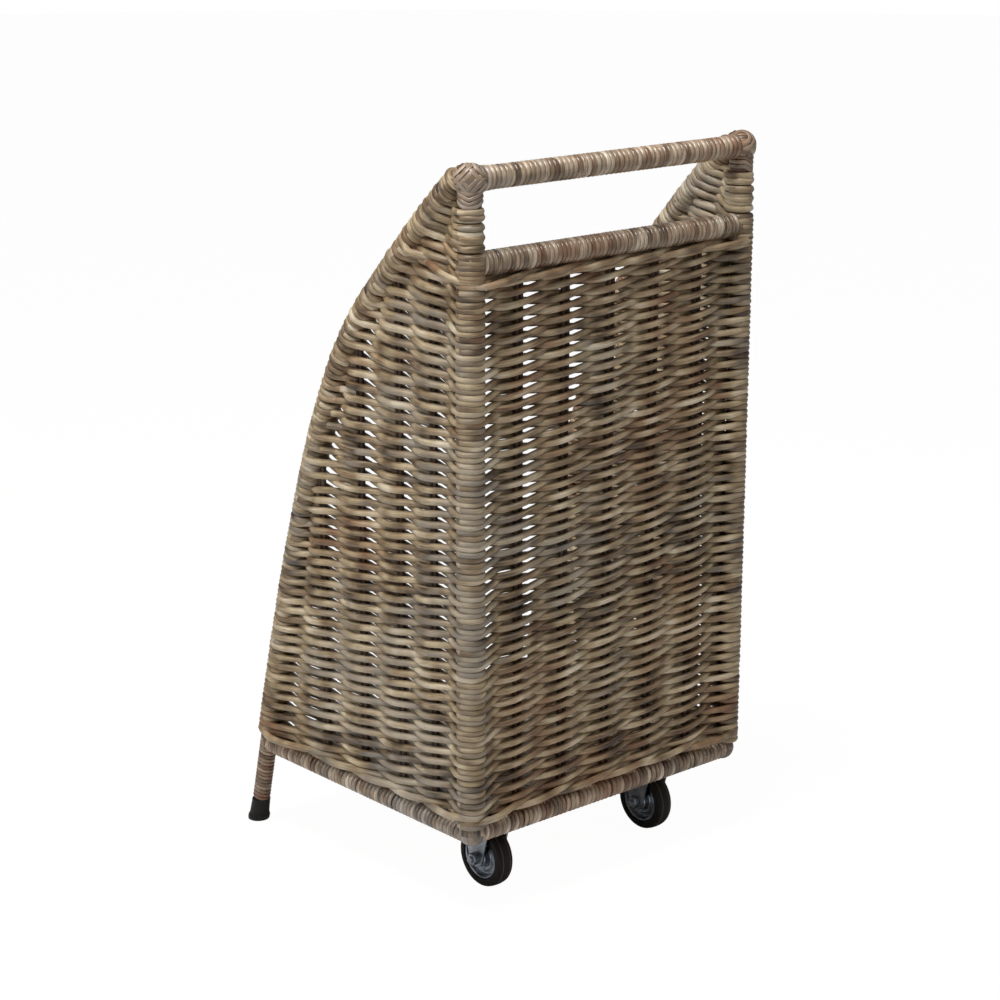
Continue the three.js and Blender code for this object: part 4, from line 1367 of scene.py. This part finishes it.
def round_edges(work: bmesh.types.BMesh, edges: list[bmesh.types.BMEdge], offset: float, segments: int = 2) -> dict:
    """Rounds edges by an offset in millimetres, and returns what the operator made."""
    return bmesh.ops.bevel(
        work, geom=edges, offset=offset, offset_type="OFFSET", affect="EDGES", segments=segments, profile=0.5,
        material=-1,
    )


def climb(edge: bmesh.types.BMEdge) -> float:
    """Returns the difference in height between an edge's ends."""
    return abs(edge.verts[0].co.z - edge.verts[1].co.z)


@dataclass
class RubberFoot:
    """Moulded foot under a front leg: a flat sole with a lip, drawn in above it."""

    layout: CartLayout
    wall: Wall
    sole: tuple[float, float] = (215.6, -196.2)
    corners: tuple[tuple[float, float, float], ...] = (
        (0.0, 0.0, 0), (0.0, 11.6, 0), (0.3, 12.9, 0), (2.0, 13.3, 0.5), (6.2, 13.3, 1.2), (8.0, 12.2, 1.2),
        (12.0, 11.7, 1.5), (26.0, 11.1, 1.5), (27.2, 11.3, 0.4), (28.9, 11.0, 0.7), (28.9, 8.4, 0), (24.0, 8.2, 0),
        (24.0, 0.0, 0),
    )

    def build(self, finishes: Finishes) -> None:
        """Makes the foot.

        Args:
            finishes: The cart's materials.
        """
        name, hand = self.wall.side, self.wall.value
        low, high = (np.array([p[0], 0.0, p[1]]) for p in self.layout.arch_axis[:-3:-1])
        run = self.layout.place(Wall.RIGHT, np.array([low, high]))
        lean = (run[1] - run[0]) / (run[1][2] - run[0][2])
        centre = (hand * self.sole[0], self.sole[1], 0.0)
        foot = Lathe(f"{name}_rubber_foot", self.corners, 48, Axis.Z, centre, (hand * lean[0], lean[1]))
        foot.build(finishes.rubber, Slot.RUBBER, [f"{name}_foot_tip"])


@dataclass
class Castor:
    """A fixed castor: pressed fork, disc wheel with a rubber tyre, bolt and nut."""

    wall: Wall
    across: float = 127.0
    along: float = 133.36
    axle: float = 38.0
    leg_inner: float = 14.2
    sheet: float = 2.4
    top_half: float = 26.0
    eye: float = 11.0
    shoulder: float = 8.0
    plate: tuple[float, float] = (62.0, 84.0)
    plate_low: float = 97.3
    hexagon: float = 7.4
    tyre: tuple[tuple[float, float, float], ...] = (
        (-11.2, 26.9, 0.8), (-11.7, 31.0, 3.0), (-9.6, 35.6, 4.0), (0.0, 38.2, 9.0), (9.6, 35.6, 4.0),
        (11.7, 31.0, 3.0), (11.2, 26.9, 0.8),
    )
    half_rim: tuple[tuple[float, float, float], ...] = (
        (13.0, 6.3, 0.3), (13.0, 9.6, 0.8), (11.6, 11.4, 0.8), (4.6, 12.4, 1.2), (4.0, 14.8, 0.5), (5.4, 15.6, 0.6),
        (5.4, 17.2, 0.6), (4.0, 18.0, 0.6), (3.2, 22.0, 1.2), (8.4, 23.8, 1.0), (9.8, 24.2, 0.5), (10.0, 26.4, 0.4),
    )

    def wheel(self, finishes: Finishes) -> None:
        """Makes rim and tyre.

        Args:
            finishes: The cart's materials.
        """
        side, at = self.wall.side, (self.wall.value * self.across, self.along, self.axle)
        rim = self.half_rim + tuple((-a, r, s) for a, r, s in self.half_rim[::-1])
        for name, corners, material, slot in (
            ("tyre", self.tyre, finishes.tyre, Slot.TYRE), ("rim", rim, finishes.rim, Slot.ZINC)
        ):
            turned = Lathe(f"{side}_{name}", corners, 96, Axis.X, at, loop=True)
            turned.build(material, slot, [f"{side}_wheel_{name}"], f"{side}_wheel")

    def fork(self, finishes: Finishes) -> None:
        """Makes the pressed fork: mounting plate, two shouldered legs with rounded eyes.

        Args:
            finishes: The cart's materials.
        """
        work = bmesh.new()
        low, drop = self.plate_low, self.plate_low - self.shoulder
        # the legs' edges run tangent to the eye round the axle
        dy, dz = self.top_half, drop - self.axle
        tangent = math.atan2(dz, dy) - math.acos(self.eye / math.hypot(dy, dz))
        sweep = np.linspace(math.pi - tangent, 2 * math.pi + tangent, 15)
        outline = [(-self.top_half, low), (-self.top_half, drop)]
        outline += [(self.eye * math.cos(a), self.axle + self.eye * math.sin(a)) for a in sweep]
        outline += [(self.top_half, drop), (self.top_half, low)]
        for start in (self.leg_inner, -self.leg_inner - self.sheet):
            face = work.faces.new([work.verts.new((start, y, z)) for y, z in outline])
            grown = bmesh.ops.extrude_face_region(work, geom=[face])["geom"]
            verts = [g for g in grown if isinstance(g, bmesh.types.BMVert)]
            bmesh.ops.translate(work, vec=(self.sheet, 0, 0), verts=verts)
        rims = [e for e in work.edges if abs(e.verts[0].co.x - e.verts[1].co.x) < 0.1]
        round_edges(work, [e for e in rims if min(v.co.z for v in e.verts) < low - 1], 0.5)
        top = bmesh.ops.create_cube(work, size=1.0)["verts"]
        bmesh.ops.scale(work, vec=(*self.plate, self.sheet), verts=top)
        bmesh.ops.translate(work, vec=(0, 0, low + self.sheet / 2), verts=top)
        made = round_edges(work, [e for e in {e for v in top for e in v.link_edges} if climb(e) > 1], 6.0, 5)
        edges = {e for f in made["faces"] for v in f.verts for e in v.link_edges}
        round_edges(work, [e for e in edges if climb(e) < 0.1], 0.35)
        bmesh.ops.translate(work, vec=(self.wall.value * self.across, self.along, 0), verts=work.verts[:])
        name, node = f"{self.wall.side}_fork", f"{self.wall.side}_castor_fork"
        finish_piece(name, released(work, name), finishes.zinc, [node], split=35)

    def bolt(self, finishes: Finishes) -> None:
        """Makes the axle bolt with its hexagon head, and the nut on its end.

        Args:
            finishes: The cart's materials.
        """
        at = Vector((self.wall.value * self.across, self.along, self.axle))
        cone = lambda sides, radius, depth: bmesh.ops.create_cone(
            work, cap_ends=True, cap_tris=False, segments=sides, radius1=radius, radius2=radius, depth=depth
        )["verts"]
        for part, start, end, node in (("bolt_head", -22.2, -16.9, "axle_bolt"), ("nut", 16.9, 23.4, "axle_nut")):
            work = bmesh.new()
            cone(6, self.hexagon, end - start)
            round_edges(work, [e for e in work.edges if climb(e) > 1], 0.5)
            round_edges(work, [e for e in work.edges if climb(e) < 0.01], 0.6)
            shank = cone(32, 4.0, 48.4 if part == "bolt_head" else 6.6)
            if part == "bolt_head":  # the shank runs on through fork and sleeve, and shows past the nut
                bmesh.ops.translate(work, vec=(0, 0, 2.0 - (start + end) / 2), verts=shank)
            else:  # a washer under the nut
                bmesh.ops.scale(work, vec=(1.6, 1.6, 0.2), verts=shank)
                bmesh.ops.translate(work, vec=(0, 0, -2.9), verts=shank)
            bmesh.ops.rotate(work, matrix=Matrix.Rotation(math.pi / 2, 3, "Y"), verts=work.verts[:])
            bmesh.ops.translate(work, vec=at + Vector(((start + end) / 2, 0, 0)), verts=work.verts[:])
            name, node = f"{self.wall.side}_{part}", f"{self.wall.side}_{node}"
            finish_piece(name, released(work, name), finishes.zinc, [node], split=35)

    def build(self, finishes: Finishes) -> None:
        """Makes the castor."""
        for part in (self.wheel, self.fork, self.bolt):
            part(finishes)


class PlainParts:
    """The CAD nodes that keep their own mesh and get a finish: straight poles, board, sleeves and screws."""

    def build(self, finishes: Finishes) -> None:
        """Dresses them.

        Args:
            finishes: The cart's materials.
        """
        by_word = {"board": finishes.board, "sleeve": finishes.zinc, "screw": finishes.zinc}
        for name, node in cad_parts.items():
            if not node.hide_render:
                node.data.materials.clear()
                node.data.materials.append(next((m for word, m in by_word.items() if word in name), finishes.pole))
                LOG.info("%s keeps its CAD mesh", name)


# ---------------------------------------------------------------- camera and light


@dataclass
class Studio:
    """Camera of the photograph, white surroundings, pale floor and soft lamps."""

    eye: tuple[float, float, float] = (1.79836, 2.10098, 1.20776)
    right: tuple[float, float, float] = (-0.7587, 0.6515, 0.0015)
    up: tuple[float, float, float] = (-0.1794, -0.2112, 0.9608)
    ahead: tuple[float, float, float] = (-0.6263, -0.7287, -0.2771)
    focal: float = 2431.0
    picture: float = 1000.0
    sensor: float = 36.0
    ambient: float = 0.27
    lamp_colour: tuple[float, float, float] = (1.0, 0.975, 0.93)
    # name, place in metres, side in metres and watts
    lamps: tuple[tuple[str, tuple[float, float, float], float, float], ...] = (
        ("Overhead lamp", (0.7, 0.3, 2.4), 1.0, 39.0),
        ("Left lamp", (2.2, -0.3, 1.5), 1.0, 11.5),
        ("Right lamp", (-1.0, 2.2, 1.6), 1.2, 3.0),
    )
    aim: tuple[float, float, float] = (0.0, 0.0, 0.45)

    def camera(self) -> None:
        """Puts the camera where the photograph was taken from."""
        data = bpy.data.cameras.new("Camera")
        data.sensor_fit, data.sensor_width = "HORIZONTAL", self.sensor
        data.lens = self.focal / self.picture * self.sensor
        data.clip_start, data.clip_end = 0.05, 60.0
        camera = bpy.data.objects.new("Camera", data)
        bpy.context.scene.collection.objects.link(camera)
        turn = Matrix((self.right, self.up, tuple(-a for a in self.ahead))).transposed()
        camera.matrix_world = Matrix.Translation(self.eye) @ turn.to_4x4()
        bpy.context.scene.camera = camera

    def light(self) -> None:
        """Hangs the soft square lamps, facing the cart's middle."""
        for name, place, size, watts in self.lamps:
            data = bpy.data.lights.new(name, "AREA")
            data.shape, data.size, data.energy, data.color = "SQUARE", size, watts, self.lamp_colour
            lamp = bpy.data.objects.new(name, data)
            bpy.context.scene.collection.objects.link(lamp)
            lamp.location = place
            lamp.rotation_mode = "QUATERNION"
            lamp.rotation_quaternion = (Vector(self.aim) - Vector(place)).to_track_quat("-Z", "Y")

    def surroundings(self) -> None:
        """Makes the white background and the pale floor."""
        world = bpy.data.worlds.new("Studio")
        bpy.context.scene.world = world
        world.use_nodes = True
        tree = world.node_tree
        tree.nodes.clear()
        path = add(tree, "LightPath")
        seen = add(tree, "Math", (path["Is Camera Ray"], path["Is Transmission Ray"]), operation="MAXIMUM")[0]
        plain, white = (
            add(tree, "Background", {"Color": (1, 1, 1, 1), "Strength": power})[0] for power in (self.ambient, 1.0)
        )
        add(tree, "OutputWorld", (add(tree, "MixShader", (seen, plain, white))[0],))
        work = bmesh.new()
        bmesh.ops.create_circle(work, cap_ends=True, segments=96, radius=12.0)
        floor = bpy.data.objects.new("floor", released(work, "floor"))
        bpy.context.scene.collection.objects.link(floor)
        floor.location.z = -0.0005
        # White studio paper: nearly white to the eye, with only a breath of the cart's shadow.
        material, tree = blank("Studio paper")
        seen = add(tree, "Math", (add(tree, "LightPath")["Is Camera Ray"], 0.94), operation="MULTIPLY")[0]
        paper = add(tree, "BsdfDiffuse", {"Color": linear("#F4F4F4")})[0]
        glow = add(tree, "Emission", {"Color": (1, 1, 1, 1), "Strength": 1.03})[0]
        add(tree, "OutputMaterial", (add(tree, "MixShader", (seen, paper, glow))[0],))
        floor.data.materials.append(material)

    def build(self) -> None:
        """Sets up camera, surroundings and lamps."""
        bpy.context.scene.view_settings.view_transform = "Standard"
        self.camera()
        self.surroundings()
        self.light()


def main() -> None:
    """Builds the cart's pieces in order."""
    logging.basicConfig(level=logging.INFO, format="%(name)s %(message)s")
    layout, finishes = CartLayout(), Finishes()
    Studio().build()
    Weaving(layout).build(finishes)
    Stakes(layout).build(finishes)
    Windings(layout).build(finishes)
    for wall in SIDES:
        CornerBinding(layout, wall).build(finishes)
        RubberFoot(layout, wall).build(finishes)
        Castor(wall).build(finishes)
    FloorWeave().build(finishes)
    PlainParts().build(finishes)


if __name__ == "__main__":
    main()
